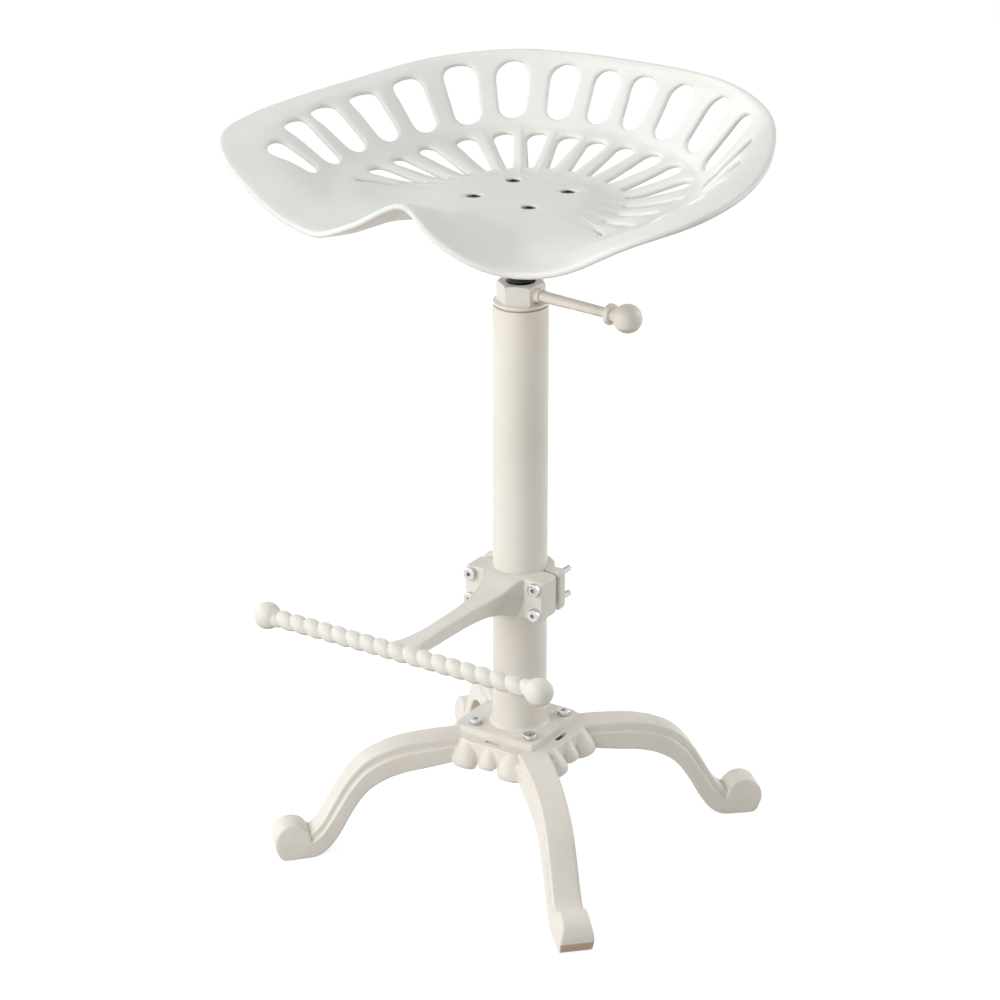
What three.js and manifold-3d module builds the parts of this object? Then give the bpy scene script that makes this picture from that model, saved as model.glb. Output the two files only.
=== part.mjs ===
// Tractor seat stool: cast seat on a screw spindle, lock nut with a ball lever,
// round column, clamped footrest with a twisted bar, and a four-legged cast base.
// Millimetres, +Z up, the floor at zero, the sitter faces -Y.
import * as THREE from 'three';
import { mergeVertices } from 'three/addons/utils/BufferGeometryUtils.js';
import Module from 'manifold-3d';

const wasm = await Module();
wasm.setup();

// Clearances
const gap = 0.3;
const running_gap = 0.4;
const bury = 2;

// Seat casting: the pad's rise over the column's top with the lift at rest, and the casting's sizes
const seat_rest_rise = 98.4;
const seat_half_width = 250;
const seat_back_rise = 80;
const seat_pad_radius = 58;
const seat_thickness = 6.5;
const seat_turn_deg = -3.3;
const seat_hole_spacing = 57.3;
const lip_reach = 4;
const lip_drop_share = 0.12;

// Seat casting: stations round the half from the back (0) to the front (180)
const station_deg = [0, 20, 40, 60, 80, 95, 105, 115, 125, 135, 145, 155, 165, 180];
// Each row is one ring between the flat pad and the rim, in shares of the half width
const ring_radius_shares = [
  [0.304, 0.308, 0.352, 0.372, 0.376, 0.388, 0.408, 0.424, 0.424, 0.408, 0.388, 0.364, 0.344, 0.328],
  [0.472, 0.5, 0.548, 0.564, 0.552, 0.54, 0.564, 0.576, 0.568, 0.544, 0.52, 0.496, 0.476, 0.456],
  [0.54, 0.548, 0.596, 0.624, 0.63, 0.652, 0.672, 0.68, 0.66, 0.628, 0.592, 0.568, 0.544, 0.508],
  [0.648, 0.68, 0.732, 0.768, 0.772, 0.82, 0.848, 0.852, 0.808, 0.728, 0.668, 0.648, 0.624, 0.576],
  [0.66, 0.684, 0.738, 0.816, 0.884, 0.956, 1.008, 1.04, 0.98, 0.848, 0.756, 0.736, 0.708, 0.648],
];
// The same rings' heights over the pad, in shares of the back's rise
const ring_height_shares = [
  [0.037, 0.031, -0.013, -0.044, -0.05, -0.044, -0.037, -0.037, -0.05, -0.056, -0.05, -0.025, 0, 0.025],
  [0.244, 0.225, 0.188, 0.119, 0.087, 0.069, 0.05, 0.031, 0, -0.062, -0.094, -0.075, 0, 0.075],
  [0.369, 0.356, 0.306, 0.225, 0.188, 0.175, 0.163, 0.125, 0.05, -0.05, -0.113, -0.087, 0.013, 0.113],
  [0.887, 0.869, 0.856, 0.744, 0.6, 0.525, 0.45, 0.35, 0.175, -0.037, -0.106, -0.069, 0.044, 0.188],
  [0.985, 0.985, 0.98, 0.9, 0.738, 0.637, 0.575, 0.463, 0.288, -0.012, -0.11, -0.06, 0.05, 0.25],
];

// Seat openings: angle at the outer and inner end, ring share at each end, widths
const outer_slot_outer_deg = [6.8, 21.4, 38, 53.2, 68.4, 82, 95, 105.5, 116.5];
const outer_slot_inner_deg = [7.4, 23, 38.8, 53, 67.2, 81.5, 94.6, 108, 119];
const outer_slot_outer_share = [4.04, 4.04, 4.04, 4.1, 4.08, 4.15, 4.12, 4.15, 4.15];
const outer_slot_inner_share = [3.0, 3.0, 3.0, 2.95, 2.95, 2.95, 2.97, 3.0, 3.15];
const outer_slot_width_share = [0.86, 0.93, 1, 0.96, 0.93, 0.9, 0.86, 0.82, 0.79];
const outer_slot_width = 30;
const outer_slot_taper_share = 0.72;
const inner_slot_outer_deg = [0, 14.6, 29, 43, 58, 75.5, 92, 106, 117.5];
const inner_slot_inner_deg = [0, 15.8, 30, 42.6, 54, 68, 83, 98, 110];
const inner_slot_outer_share = [2.05, 2.05, 2.05, 2.05, 2.05, 2.05, 2.05, 2.05, 2.02];
const inner_slot_inner_share = [0.98, 0.98, 0.98, 1.0, 1.02, 1.0, 1.02, 1.05, 1.1];
const inner_slot_width = 18.5;
const inner_slot_taper_share = 0.34;
const outer_band_shares = [2.72, 4.42];
const inner_band_shares = [0.6, 2.34];
const rim_step_share = 4.7;
const rim_share = 5;
const pad_edge_segments = 30;
const front_columns_outer = 14;
const front_columns_inner = 12;

// Seat screws, nuts and mounting plate
const seat_screw_head_radius = 6.3;
const seat_screw_head_height = 2.7;
const seat_screw_shank_radius = 3.9;
const seat_screw_recess = 3.3;
const seat_screw_tip = 2;
const seat_nut_across_flats = 13;
const seat_nut_height = 6;
const seat_plate_side = 78;
const seat_plate_thickness = 6;
const seat_plate_corner = 9;

// Spindle and its guide
const spindle_radius = 12.5;
const spindle_length = 270;
const spindle_stud_radius = 6;
const spindle_stud_length = 38;
const spindle_chamfer = 1.5;
const guide_height = 24;
const guide_nut_across_flats = 18;
const guide_nut_height = 9;

// Lock nut and lever
const nut_corner_radius = 21.5;
const nut_height = 17;
const nut_turn_deg = -7;
const nut_chamfer = 1.3;
const nut_pin_hole_radius = 1.8;
const nut_pin_hole_depth = 3;
const nut_pin_hole_turn_deg = 5;
const nut_pin_hole_lift = 2;
const lever_radius = 4.8;
const lever_tip_radius = 4.4;
const lever_boss_radius = 6.4;
const lever_boss_length = 5;
const lever_seat_depth = 5;
const lever_drop = 0.5;
const lever_stop_radius = 8.8;
const lever_stop_thickness = 5;
const lever_stop_bevel = 1.4;
const lever_neck_radius = 6.4;
const lever_neck_length = 4.6;
const knob_radius = 12.6;
const knob_reach = 115.8;
const knob_hole_depth = 9;

// Column
const column_radius = 24.5;
const column_wall = 3;
const column_top_height = 513.6;
const collar_ring_thickness = 3;
const collar_ring_inset = 0.6;
const collar_plug_length = 40;
const collar_seam = 0.4;

// Column flange and its screws
const flange_side = 80;
const flange_thickness = 6.3;
const flange_corner = 3;
const flange_screw_pitch_radius = 41.1;
const flange_screw_head_radius = 6.1;
const flange_screw_head_height = 4.6;
const flange_screw_shank_radius = 3.7;
const flange_screw_length = 20;
const flange_screw_socket_radius = 3;
const flange_screw_socket_depth = 2.6;

// Base casting
const base_top_height = 108;
const hub_half_side = 53;
const hub_corner_reach = 76;
const hub_bottom_height = 88;
const hub_core_radius = 34;
const leg_half_width = 15.5;
const leg_reach = 213;
const scroll_radius = 17;
const scroll_bevel = 2;
const toe_flat = 0.25;
const lobe_offset = 24;
const lobe_set_back = 46.5;
const lobe_height = 28;
const lobe_radius = 13;
const small_lobe_set_back = 48.5;
const small_lobe_height = 20;
const small_lobe_radius = 8.2;
const lobe_lean_deg = 24;
const lobe_depth_share = 0.8;
const lobe_drop = 1.5;
const small_lobe_drop = 2.5;
const apron_hole_length = 17;
const apron_hole_width = 4.4;
const apron_hole_set_back = 45.2;
// Each leg station: reach, top, bottom and half width, in shares of the leg's own sizes
const leg_reach_shares = [0.08, 0.3, 0.42, 0.52, 0.61, 0.695, 0.75, 0.79, 0.83, 0.868, 0.905, 0.94, 1.01];
const leg_top_shares = [0.998, 0.998, 0.99, 0.97, 0.92, 0.83, 0.72, 0.605, 0.465, 0.335, 0.245, 0.205, 0.17];
const leg_bottom_shares = [0.78, 0.78, 0.745, 0.715, 0.655, 0.53, 0.37, 0.225, 0.11, 0.038, 0.006, 0, 0];
const leg_width_shares = [1.08, 1.1, 1.06, 1, 0.95, 0.93, 0.92, 0.92, 0.93, 0.94, 0.96, 0.98, 1];
// The squared toe under each scroll: reach past the scroll's centre and height, in shares of its radius
const toe_reach_shares = [0, 0.56, 0.76, 0.86, 0];
const toe_height_shares = [0, 0, 0.19, 0.48, 0.48];
// The leg's section: across in shares of the half width, up in shares of the depth
const leg_section_across_shares = [0.9, 1, 1, 0.84, 0.8, 0.6, 0];
const leg_section_up_shares = [0, 0.08, 0.56, 0.66, 0.82, 0.95, 1];

// Footrest
const footrest_height = 250;
const clamp_height = 38;
const saddle_wall = 7.5;
const lug_inner = 21.5;
const lug_outer = 40.5;
const lug_front_set_back = 28;
const lug_back_set_back = 3.6;
const lug_corner = 2.5;
const rear_lug_start = 2.6;
const rear_lug_thickness = 9.4;
const rear_wall = 6.5;
const clamp_screw_offset = 33.6;
const clamp_screw_rise = 12.2;
const clamp_screw_radius = 2.9;
const clamp_screw_length = 58;
const clamp_screw_head_radius = 5.4;
const clamp_screw_head_height = 5;
const clamp_screw_socket_radius = 2.4;
const clamp_screw_socket_depth = 2.6;
const cap_screw_bevel = 0.5;
const bar_half_length = 139.2;
const bar_set_back = 189.7;
const bar_rise = 6.5;
const bar_radius = 7.6;
const bar_groove = 2;
const bar_twist_pitch = 14.65;
const bar_ball_radius = 12.1;
const bar_sides = 8;
const bar_steps_per_twist = 4;
// Each arm station: set back, half width, top and bottom, in shares of the arm's own sizes
const arm_set_back_shares = [0.12, 0.17, 0.235, 0.33, 0.45, 0.63, 0.82, 0.905, 0.975];
const arm_width_shares = [1, 0.84, 0.63, 0.46, 0.355, 0.315, 0.335, 0.4, 0.56];
const arm_top_shares = [0.98, 0.96, 0.66, 0.5, 0.475, 0.475, 0.5, 0.56, 0.6];
const arm_bottom_shares = [-0.94, -0.86, -0.64, -0.42, -0.31, -0.26, -0.2, -0.1, 0.02];
const arm_half_width = 24;
const arm_edge_share = 0.84;
const arm_foot_share = 0.72;

// Facets
const round_segments = 28;
const small_segments = 12;
const ball_segments = 16;
const lobe_segments = 8;
const screw_segments = 12;
const scroll_segments = 20;
const hexagon = 6;
const quarter = Math.PI / 2;
const half_turn = Math.PI;
const full_turn = 2 * Math.PI;
const degree = Math.PI / 180;
const half_circle_deg = 180;
const full_circle_deg = 360;

// Derived heights
const seat_top_height = column_top_height + seat_rest_rise;
const seat_under_height = seat_top_height - seat_thickness;
const plate_under_height = seat_under_height - seat_plate_thickness;
const flange_top_height = base_top_height + flange_thickness;
const ring_bottom_height = column_top_height + collar_seam;
const ring_top_height = ring_bottom_height + collar_ring_thickness;
const nut_bottom_height = ring_top_height;
const nut_top_height = nut_bottom_height + nut_height;
const lever_height = nut_bottom_height + nut_height / 2 - lever_drop;
const tube_bore_radius = column_radius - column_wall;
const spindle_shoulder_height = plate_under_height - spindle_length;
const bar_height = footrest_height + bar_rise;
const seat_hole_radius = seat_hole_spacing / Math.SQRT2;

// Geometry helpers
function weld(geometry) {
  const bare = geometry.index ? geometry.toNonIndexed() : geometry.clone();
  bare.deleteAttribute('normal');
  bare.deleteAttribute('uv');
  return mergeVertices(bare);
}

function solid(geometry) {
  const welded = weld(geometry);
  const place = welded.attributes.position;
  const index = Array.from(welded.index.array);
  const a = new THREE.Vector3();
  const b = new THREE.Vector3();
  const c = new THREE.Vector3();
  let volume = 0;
  const kept = [];
  for (let k = 0; k < index.length; k += 3) {
    const [i, j, l] = [index[k], index[k + 1], index[k + 2]];
    if (i === j || j === l || l === i) continue;
    a.fromBufferAttribute(place, i);
    b.fromBufferAttribute(place, j);
    c.fromBufferAttribute(place, l);
    volume += a.dot(b.cross(c));
    kept.push(i, j, l);
  }
  if (volume < 0) {
    for (let k = 0; k < kept.length; k += 3) {
      [kept[k + 1], kept[k + 2]] = [kept[k + 2], kept[k + 1]];
    }
  }
  return new wasm.Manifold(new wasm.Mesh({
    numProp: 3,
    vertProperties: new Float32Array(place.array),
    triVerts: new Uint32Array(kept),
  }));
}

function surface(body) {
  const mesh = body.getMesh();
  const geometry = new THREE.BufferGeometry();
  geometry.setAttribute('position', new THREE.BufferAttribute(new Float32Array(mesh.vertProperties), 3));
  geometry.setIndex(Array.from(mesh.triVerts));
  geometry.computeVertexNormals();
  return geometry;
}

function joined(bodies) {
  return bodies.reduce((total, body) => total.add(body));
}

function cut(body, tools) {
  return tools.reduce((total, tool) => total.subtract(tool), body);
}

// A body turned about Z from [radius, height] pairs
function turned(profile, segments) {
  const points = profile.map(([radius, height]) => new THREE.Vector2(radius, height));
  return new THREE.LatheGeometry(points, segments).rotateX(quarter);
}

function rod(radius, low, high, segments) {
  return turned([[0, low], [radius, low], [radius, high], [0, high]], segments);
}

function sleeve(inner, outer, low, high, segments) {
  return turned([[inner, low], [outer, low], [outer, high], [inner, high], [inner, low]], segments);
}

function ball(radius, segments) {
  const rows = segments / 2;
  const profile = Array.from({ length: rows + 1 }, (_, row) => {
    const angle = (row / rows) * half_turn;
    const edge = row === 0 || row === rows;
    return [edge ? 0 : radius * Math.sin(angle), -radius * Math.cos(angle)];
  });
  return turned(profile, segments);
}

function prism(corners, low, high) {
  const shape = new THREE.Shape(corners.map(([x, y]) => new THREE.Vector2(x, y)));
  return new THREE.ExtrudeGeometry(shape, { depth: high - low, bevelEnabled: false }).translate(0, 0, low);
}

function box(x0, x1, y0, y1, z0, z1) {
  return prism([[x0, y0], [x1, y0], [x1, y1], [x0, y1]], z0, z1);
}

function polygon(radius, sides, turn) {
  return Array.from({ length: sides }, (_, k) => {
    const angle = turn + (k / sides) * full_turn;
    return [radius * Math.cos(angle), radius * Math.sin(angle)];
  });
}

function cropped_square(half, corner) {
  const inner = half - corner;
  return [
    [inner, -half], [half, -inner], [half, inner], [inner, half],
    [-inner, half], [-half, inner], [-half, -inner], [-inner, -half],
  ];
}

// A closed skin through a row of rings that all have the same number of points
function loft(rings) {
  const count = rings[0].length;
  const place = [];
  const index = [];
  rings.forEach((ring) => ring.forEach((point) => place.push(...point)));
  for (let row = 0; row + 1 < rings.length; row += 1) {
    for (let k = 0; k < count; k += 1) {
      const next = (k + 1) % count;
      const [a, b] = [row * count + k, row * count + next];
      const [c, d] = [a + count, b + count];
      index.push(a, b, d, a, d, c);
    }
  }
  const last = (rings.length - 1) * count;
  const cap = THREE.ShapeUtils.triangulateShape(flatten(rings[0]), []);
  const end = THREE.ShapeUtils.triangulateShape(flatten(rings[rings.length - 1]), []);
  cap.forEach(([a, b, c]) => index.push(c, b, a));
  end.forEach(([a, b, c]) => index.push(last + a, last + b, last + c));
  const geometry = new THREE.BufferGeometry();
  geometry.setAttribute('position', new THREE.BufferAttribute(new Float32Array(place), 3));
  geometry.setIndex(index);
  return geometry;
}

// A flat ring's points in its own plane, taken from the first edge and the normal
function flatten(ring) {
  const points = ring.map((point) => new THREE.Vector3(...point));
  const normal = new THREE.Vector3();
  points.forEach((point, k) => {
    const next = points[(k + 1) % points.length];
    normal.add(new THREE.Vector3().crossVectors(point, next));
  });
  normal.normalize();
  const across = new THREE.Vector3().subVectors(points[1], points[0]).normalize();
  const up = new THREE.Vector3().crossVectors(normal, across);
  return points.map((point) => new THREE.Vector2(point.dot(across), point.dot(up)));
}

// Seat surface
function eased(row, knots, k, t) {
  const [before, from, to, after] = [row(k - 1), row(k), row(k + 1), row(k + 2)];
  const [first, span] = [knots(k) - knots(k - 1), knots(k + 1) - knots(k)];
  const final = knots(k + 2) - knots(k + 1);
  const rise = (to - from) / span;
  const start = (((from - before) / first) * span + rise * first) / (first + span);
  const finish = (rise * final + ((after - to) / final) * span) / (span + final);
  const [square, cube] = [t * t, t * t * t];
  return (2 * cube - 3 * square + 1) * from + (cube - 2 * square + t) * span * start
    + (3 * square - 2 * cube) * to + (cube - square) * span * finish;
}

function around(row, deg) {
  const last = station_deg.length - 1;
  const turn = Math.abs(((deg % full_circle_deg) + full_circle_deg + half_circle_deg) % full_circle_deg
    - half_circle_deg);
  const knots = (k) => {
    if (k < 0) return -station_deg[-k];
    if (k > last) return full_circle_deg - station_deg[2 * last - k];
    return station_deg[k];
  };
  const values = (k) => row[k < 0 ? -k : k > last ? 2 * last - k : k];
  let k = 0;
  while (k < last - 1 && turn > station_deg[k + 1]) k += 1;
  return eased(values, knots, k, (turn - knots(k)) / (knots(k + 1) - knots(k)));
}

function along(values, share) {
  const last = values.length - 1;
  const k = Math.min(Math.max(Math.floor(share), 0), last - 1);
  const at = (j) => {
    if (j < 0) return 2 * values[0] - values[1];
    if (j > last) return 2 * values[last] - values[last - 1];
    return values[j];
  };
  return eased(at, (j) => j, k, share - k);
}

function seat_radius(deg, share) {
  if (share <= 0) return seat_pad_radius * (1 + share);
  const rings = ring_radius_shares.map((row) => around(row, deg) * seat_half_width);
  return along([seat_pad_radius, ...rings], share);
}

function seat_place(deg, share) {
  const radius = seat_radius(deg, share);
  const rings = ring_height_shares.map((row) => around(row, deg) * seat_back_rise);
  const height = share <= 0 ? 0 : along([0, ...rings], share);
  const turn = deg * degree;
  return new THREE.Vector3(radius * Math.sin(turn), radius * Math.cos(turn), height);
}

const probe_deg = 0.4;
const probe_share = 0.02;

function seat_outward(deg, share) {
  const inner = seat_place(deg, share - probe_share);
  return seat_place(deg, Math.min(share + probe_share, rim_share)).sub(inner).normalize();
}

function seat_normal(deg, share) {
  if (share <= 0) return new THREE.Vector3(0, 0, 1);
  const sideways = seat_place(deg + probe_deg, share).sub(seat_place(deg - probe_deg, share));
  return seat_outward(deg, share).cross(sideways).normalize().negate();
}

// How far one whole ring share reaches along the surface
function ring_reach(deg, share) {
  const inner = seat_place(deg, share - probe_share);
  return seat_place(deg, share + probe_share).distanceTo(inner) / (2 * probe_share);
}

function slot_outline(slot, steps) {
  const outer_reach = ring_reach(slot.outer_deg, slot.outer_share);
  const inner_reach = ring_reach(slot.inner_deg, slot.inner_share);
  const outer_half = slot.outer_width / 2;
  const inner_half = slot.inner_width / 2;
  const outer_centre = slot.outer_share - outer_half / outer_reach;
  const inner_centre = slot.inner_share + inner_half / inner_reach;
  const end = (centre_deg, centre, half, reach, from, to) => Array.from({ length: steps + 1 }, (_, j) => {
    const angle = from + ((to - from) * j) / steps;
    const share = centre + (half * Math.sin(angle)) / reach;
    const across = (half * Math.cos(angle)) / seat_radius(centre_deg, centre);
    return [centre_deg + across / degree, share];
  });
  const top = end(slot.outer_deg, outer_centre, outer_half, outer_reach, half_turn, 0);
  const foot = end(slot.inner_deg, inner_centre, inner_half, inner_reach, 0, -half_turn);
  const right = between(top[steps], foot[0], steps);
  const left = between(foot[steps], top[0], steps);
  return [...top, ...right, ...foot, ...left];
}

function between(from, to, steps) {
  return Array.from({ length: steps - 1 }, (_, j) => {
    const t = (j + 1) / steps;
    return [from[0] + (to[0] - from[0]) * t, from[1] + (to[1] - from[1]) * t];
  });
}

function cell_outline(left_outer, right_outer, left_inner, right_inner, low, high, steps) {
  const corners = [[left_outer, high], [right_outer, high], [right_inner, low], [left_inner, low]];
  return corners.flatMap((corner, k) => {
    const next = corners[(k + 1) % corners.length];
    return [corner, ...between(corner, next, steps)];
  });
}

function mirrored(values, centred) {
  const others = centred ? values.slice(1) : values;
  return [...others.map((value) => -value).reverse(), ...values];
}

function midpoints(values, first, last) {
  const inside = values.slice(1).map((value, k) => (value + values[k]) / 2);
  return [first, ...inside, last];
}

// The seat's sheet: cells round every opening, plain columns across the front
function band(sheet, slots, front_columns, low, high, steps) {
  const edge = (key) => {
    const all = slots.map((slot) => slot[key]);
    const margin = (all[all.length - 1] - all[all.length - 2]) / 2;
    return midpoints(all, all[0] - margin, all[all.length - 1] + margin);
  };
  const outer = edge('outer_deg');
  const inner = edge('inner_deg');
  slots.forEach((slot, k) => {
    const frame = cell_outline(outer[k], outer[k + 1], inner[k], inner[k + 1], low, high, steps);
    const hole = slot_outline(slot, steps);
    frame.forEach((point, j) => {
      const next = (j + 1) % frame.length;
      sheet.face([point, frame[next], hole[next], hole[j]]);
    });
  });
  const last = slots.length;
  const span_outer = full_circle_deg - (outer[last] - outer[0]);
  const span_inner = full_circle_deg - (inner[last] - inner[0]);
  const rows = Array.from({ length: steps + 1 }, (_, j) => j / steps);
  for (let c = 0; c < front_columns; c += 1) {
    for (let j = 0; j < steps; j += 1) {
      const corner = (column, row) => {
        const share = column / front_columns;
        const at_outer = outer[last] + span_outer * share;
        const at_inner = inner[last] + span_inner * share;
        return [at_inner + (at_outer - at_inner) * row, low + (high - low) * row];
      };
      const [near, far] = [rows[j], rows[j + 1]];
      sheet.face([corner(c, far), corner(c + 1, far), corner(c + 1, near), corner(c, near)]);
    }
  }
  const ring = (edges, span, share) => {
    const spots = [];
    for (let k = 0; k < last; k += 1) {
      for (let j = 0; j < steps; j += 1) {
        spots.push([edges[k] + ((edges[k + 1] - edges[k]) * j) / steps, share]);
      }
    }
    for (let c = 0; c < front_columns; c += 1) {
      spots.push([edges[last] + (span * c) / front_columns, share]);
    }
    return spots;
  };
  return { inner: ring(inner, span_inner, low), outer: ring(outer, span_outer, high) };
}

// Triangles between two closed rings of [deg, share] spots
function stitch(sheet, inner, outer) {
  const gain = (ring, k) => {
    const lap = Math.floor(k / ring.length) * full_circle_deg;
    return ring[k % ring.length][0] + lap;
  };
  const start = outer.reduce((best, spot, k) => {
    const miss = (j) => Math.abs(outer[j][0] - inner[0][0]);
    return miss(k) < miss(best) ? k : best;
  }, 0);
  const spot = (ring, k) => ring[k % ring.length];
  let i = 0;
  let o = start;
  while (i < inner.length || o < start + outer.length) {
    const can_inner = i < inner.length;
    const can_outer = o < start + outer.length;
    if (can_inner && (!can_outer || gain(inner, i + 1) < gain(outer, o + 1))) {
      sheet.face([spot(outer, o), spot(inner, i + 1), spot(inner, i)]);
      i += 1;
    } else {
      sheet.face([spot(outer, o), spot(outer, o + 1), spot(inner, i)]);
      o += 1;
    }
  }
}

class Sheet {
  constructor() {
    this.ids = new Map();
    this.spots = [];
    this.faces = [];
  }

  id([deg, share]) {
    const turn = ((deg % full_circle_deg) + full_circle_deg) % full_circle_deg;
    const centre = share <= -1;
    const key = centre ? 'centre' : `${turn.toFixed(3)} ${share.toFixed(4)}`;
    if (!this.ids.has(key)) {
      this.ids.set(key, this.spots.length);
      this.spots.push([turn, share]);
    }
    return this.ids.get(key);
  }

  face(corners) {
    const loop = corners.map((corner) => this.id(corner));
    const clean = loop.filter((id, k) => id !== loop[(k + 1) % loop.length]);
    for (let k = 1; k + 1 < clean.length; k += 1) {
      this.faces.push([clean[0], clean[k], clean[k + 1]]);
    }
  }

  // Adds the underside, the walls of the openings and a rolled lip round the rim
  thickened() {
    const count = this.spots.length;
    const place = [];
    const push = (point) => place.push(point.x, point.y, point.z) / 3 - 1;
    const tops = this.spots.map(([deg, share]) => push(seat_place(deg, share)));
    const lows = this.spots.map(([deg, share]) => push(
      seat_place(deg, share).addScaledVector(seat_normal(deg, share), -seat_thickness),
    ));
    const lip = new Map();
    const roll = [lip_drop_share, 0.5, 1 - lip_drop_share];
    const reach = [0.72, 1, 0.72];
    this.spots.forEach(([deg, share], id) => {
      if (share < rim_share) return;
      const outward = seat_outward(deg, share);
      const normal = seat_normal(deg, share);
      lip.set(id, roll.map((drop, k) => push(
        seat_place(deg, share).addScaledVector(outward, lip_reach * reach[k])
          .addScaledVector(normal, -seat_thickness * drop),
      )));
    });
    const index = [];
    const edges = new Map();
    this.faces.forEach(([a, b, c]) => {
      index.push(tops[a], tops[b], tops[c], lows[c], lows[b], lows[a]);
      [[a, b], [b, c], [c, a]].forEach(([from, to]) => edges.set(from * count + to, [from, to]));
    });
    edges.forEach(([from, to]) => {
      if (edges.has(to * count + from)) return;
      const chain = (id) => [tops[id], ...(lip.has(from) && lip.has(to) ? lip.get(id) : []), lows[id]];
      const [near, far] = [chain(from), chain(to)];
      for (let k = 0; k + 1 < near.length; k += 1) {
        index.push(far[k], near[k], near[k + 1], far[k], near[k + 1], far[k + 1]);
      }
    });
    const geometry = new THREE.BufferGeometry();
    geometry.setAttribute('position', new THREE.BufferAttribute(new Float32Array(place), 3));
    geometry.setIndex(index);
    return geometry;
  }
}

function outer_slots() {
  const outer_deg = mirrored(outer_slot_outer_deg, false);
  return outer_deg.map((deg, k) => {
    const side = k - outer_slot_outer_deg.length;
    const j = side < 0 ? -side - 1 : side;
    const width = outer_slot_width * outer_slot_width_share[j];
    return {
      outer_deg: deg,
      inner_deg: Math.sign(deg) * outer_slot_inner_deg[j],
      outer_share: outer_slot_outer_share[j],
      inner_share: outer_slot_inner_share[j],
      outer_width: width,
      inner_width: width * outer_slot_taper_share,
    };
  });
}

function inner_slots() {
  const outer_deg = mirrored(inner_slot_outer_deg, true);
  return outer_deg.map((deg, k) => {
    const j = Math.abs(k - inner_slot_outer_deg.length + 1);
    return {
      outer_deg: deg,
      inner_deg: Math.sign(deg) * inner_slot_inner_deg[j],
      outer_share: inner_slot_outer_share[j],
      inner_share: inner_slot_inner_share[j],
      outer_width: inner_slot_width,
      inner_width: inner_slot_width * inner_slot_taper_share,
    };
  });
}

const outer_steps = 4;
const inner_steps = 3;

function seat_sheet() {
  const sheet = new Sheet();
  const outer = band(sheet, outer_slots(), front_columns_outer, ...outer_band_shares, outer_steps);
  const inner = band(sheet, inner_slots(), front_columns_inner, ...inner_band_shares, inner_steps);
  stitch(sheet, inner.outer, outer.inner);
  const pad = Array.from({ length: pad_edge_segments }, (_, k) => (
    [inner.inner[0][0] + (k / pad_edge_segments) * full_circle_deg, 0]));
  stitch(sheet, pad, inner.inner);
  pad.forEach((spot, k) => sheet.face([spot, pad[(k + 1) % pad.length], [0, -1]]));
  const step = outer.outer.map(([deg]) => [deg, rim_step_share]);
  const rim = outer.outer.map(([deg]) => [deg, rim_share]);
  [[outer.outer, step], [step, rim]].forEach(([low, high]) => low.forEach((spot, k) => {
    const next = (k + 1) % low.length;
    sheet.face([high[k], high[next], low[next], spot]);
  }));
  return sheet;
}

// Pieces that sit on the seat's turning axis
function four_holes(radius_of_pattern, make) {
  return Array.from({ length: 4 }, (_, k) => {
    const angle = quarter * k + quarter / 2;
    return make(radius_of_pattern * Math.cos(angle), radius_of_pattern * Math.sin(angle));
  });
}

function seat_body() {
  const shell = solid(seat_sheet().thickened().translate(0, 0, seat_top_height));
  const holes = four_holes(seat_hole_radius, (x, y) => [
    solid(rod(seat_screw_shank_radius + gap, plate_under_height, seat_top_height + bury, small_segments)
      .translate(x, y, 0)),
    solid(rod(seat_screw_head_radius + gap, seat_top_height - seat_screw_recess, seat_top_height + bury,
      small_segments).translate(x, y, 0)),
  ]);
  return cut(shell, holes.flat());
}

function seat_plate_body() {
  const plate = solid(prism(cropped_square(seat_plate_side / 2, seat_plate_corner), plate_under_height,
    seat_under_height));
  return cut(plate, four_holes(seat_hole_radius, (x, y) => solid(
    rod(seat_screw_shank_radius + gap, plate_under_height - bury, seat_under_height + bury, small_segments)
      .translate(x, y, 0),
  )));
}

function seat_screw_geometry() {
  const head_under = seat_top_height - seat_screw_recess;
  const tip = plate_under_height - seat_nut_height - seat_screw_tip;
  return turned([
    [0, tip],
    [seat_screw_shank_radius, tip],
    [seat_screw_shank_radius, head_under],
    [seat_screw_head_radius, head_under],
    [seat_screw_head_radius, head_under + seat_screw_head_height],
    [0, head_under + seat_screw_head_height],
  ], small_segments);
}

function nut_body(across_flats, low, high, bore, turn) {
  const outer = solid(prism(polygon(across_flats / Math.sqrt(3), hexagon, turn), low, high));
  return outer.subtract(solid(rod(bore, low - bury, high + bury, small_segments)));
}

function spindle_geometry() {
  const stud_tip = spindle_shoulder_height - spindle_stud_length;
  return turned([
    [0, stud_tip],
    [spindle_stud_radius, stud_tip],
    [spindle_stud_radius, spindle_shoulder_height],
    [spindle_radius - spindle_chamfer, spindle_shoulder_height],
    [spindle_radius, spindle_shoulder_height + spindle_chamfer],
    [spindle_radius, plate_under_height],
    [0, plate_under_height],
  ], round_segments);
}

function guide_geometry() {
  const top = spindle_shoulder_height - gap;
  return sleeve(spindle_stud_radius + running_gap, tube_bore_radius - running_gap, top - guide_height, top,
    round_segments);
}

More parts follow.
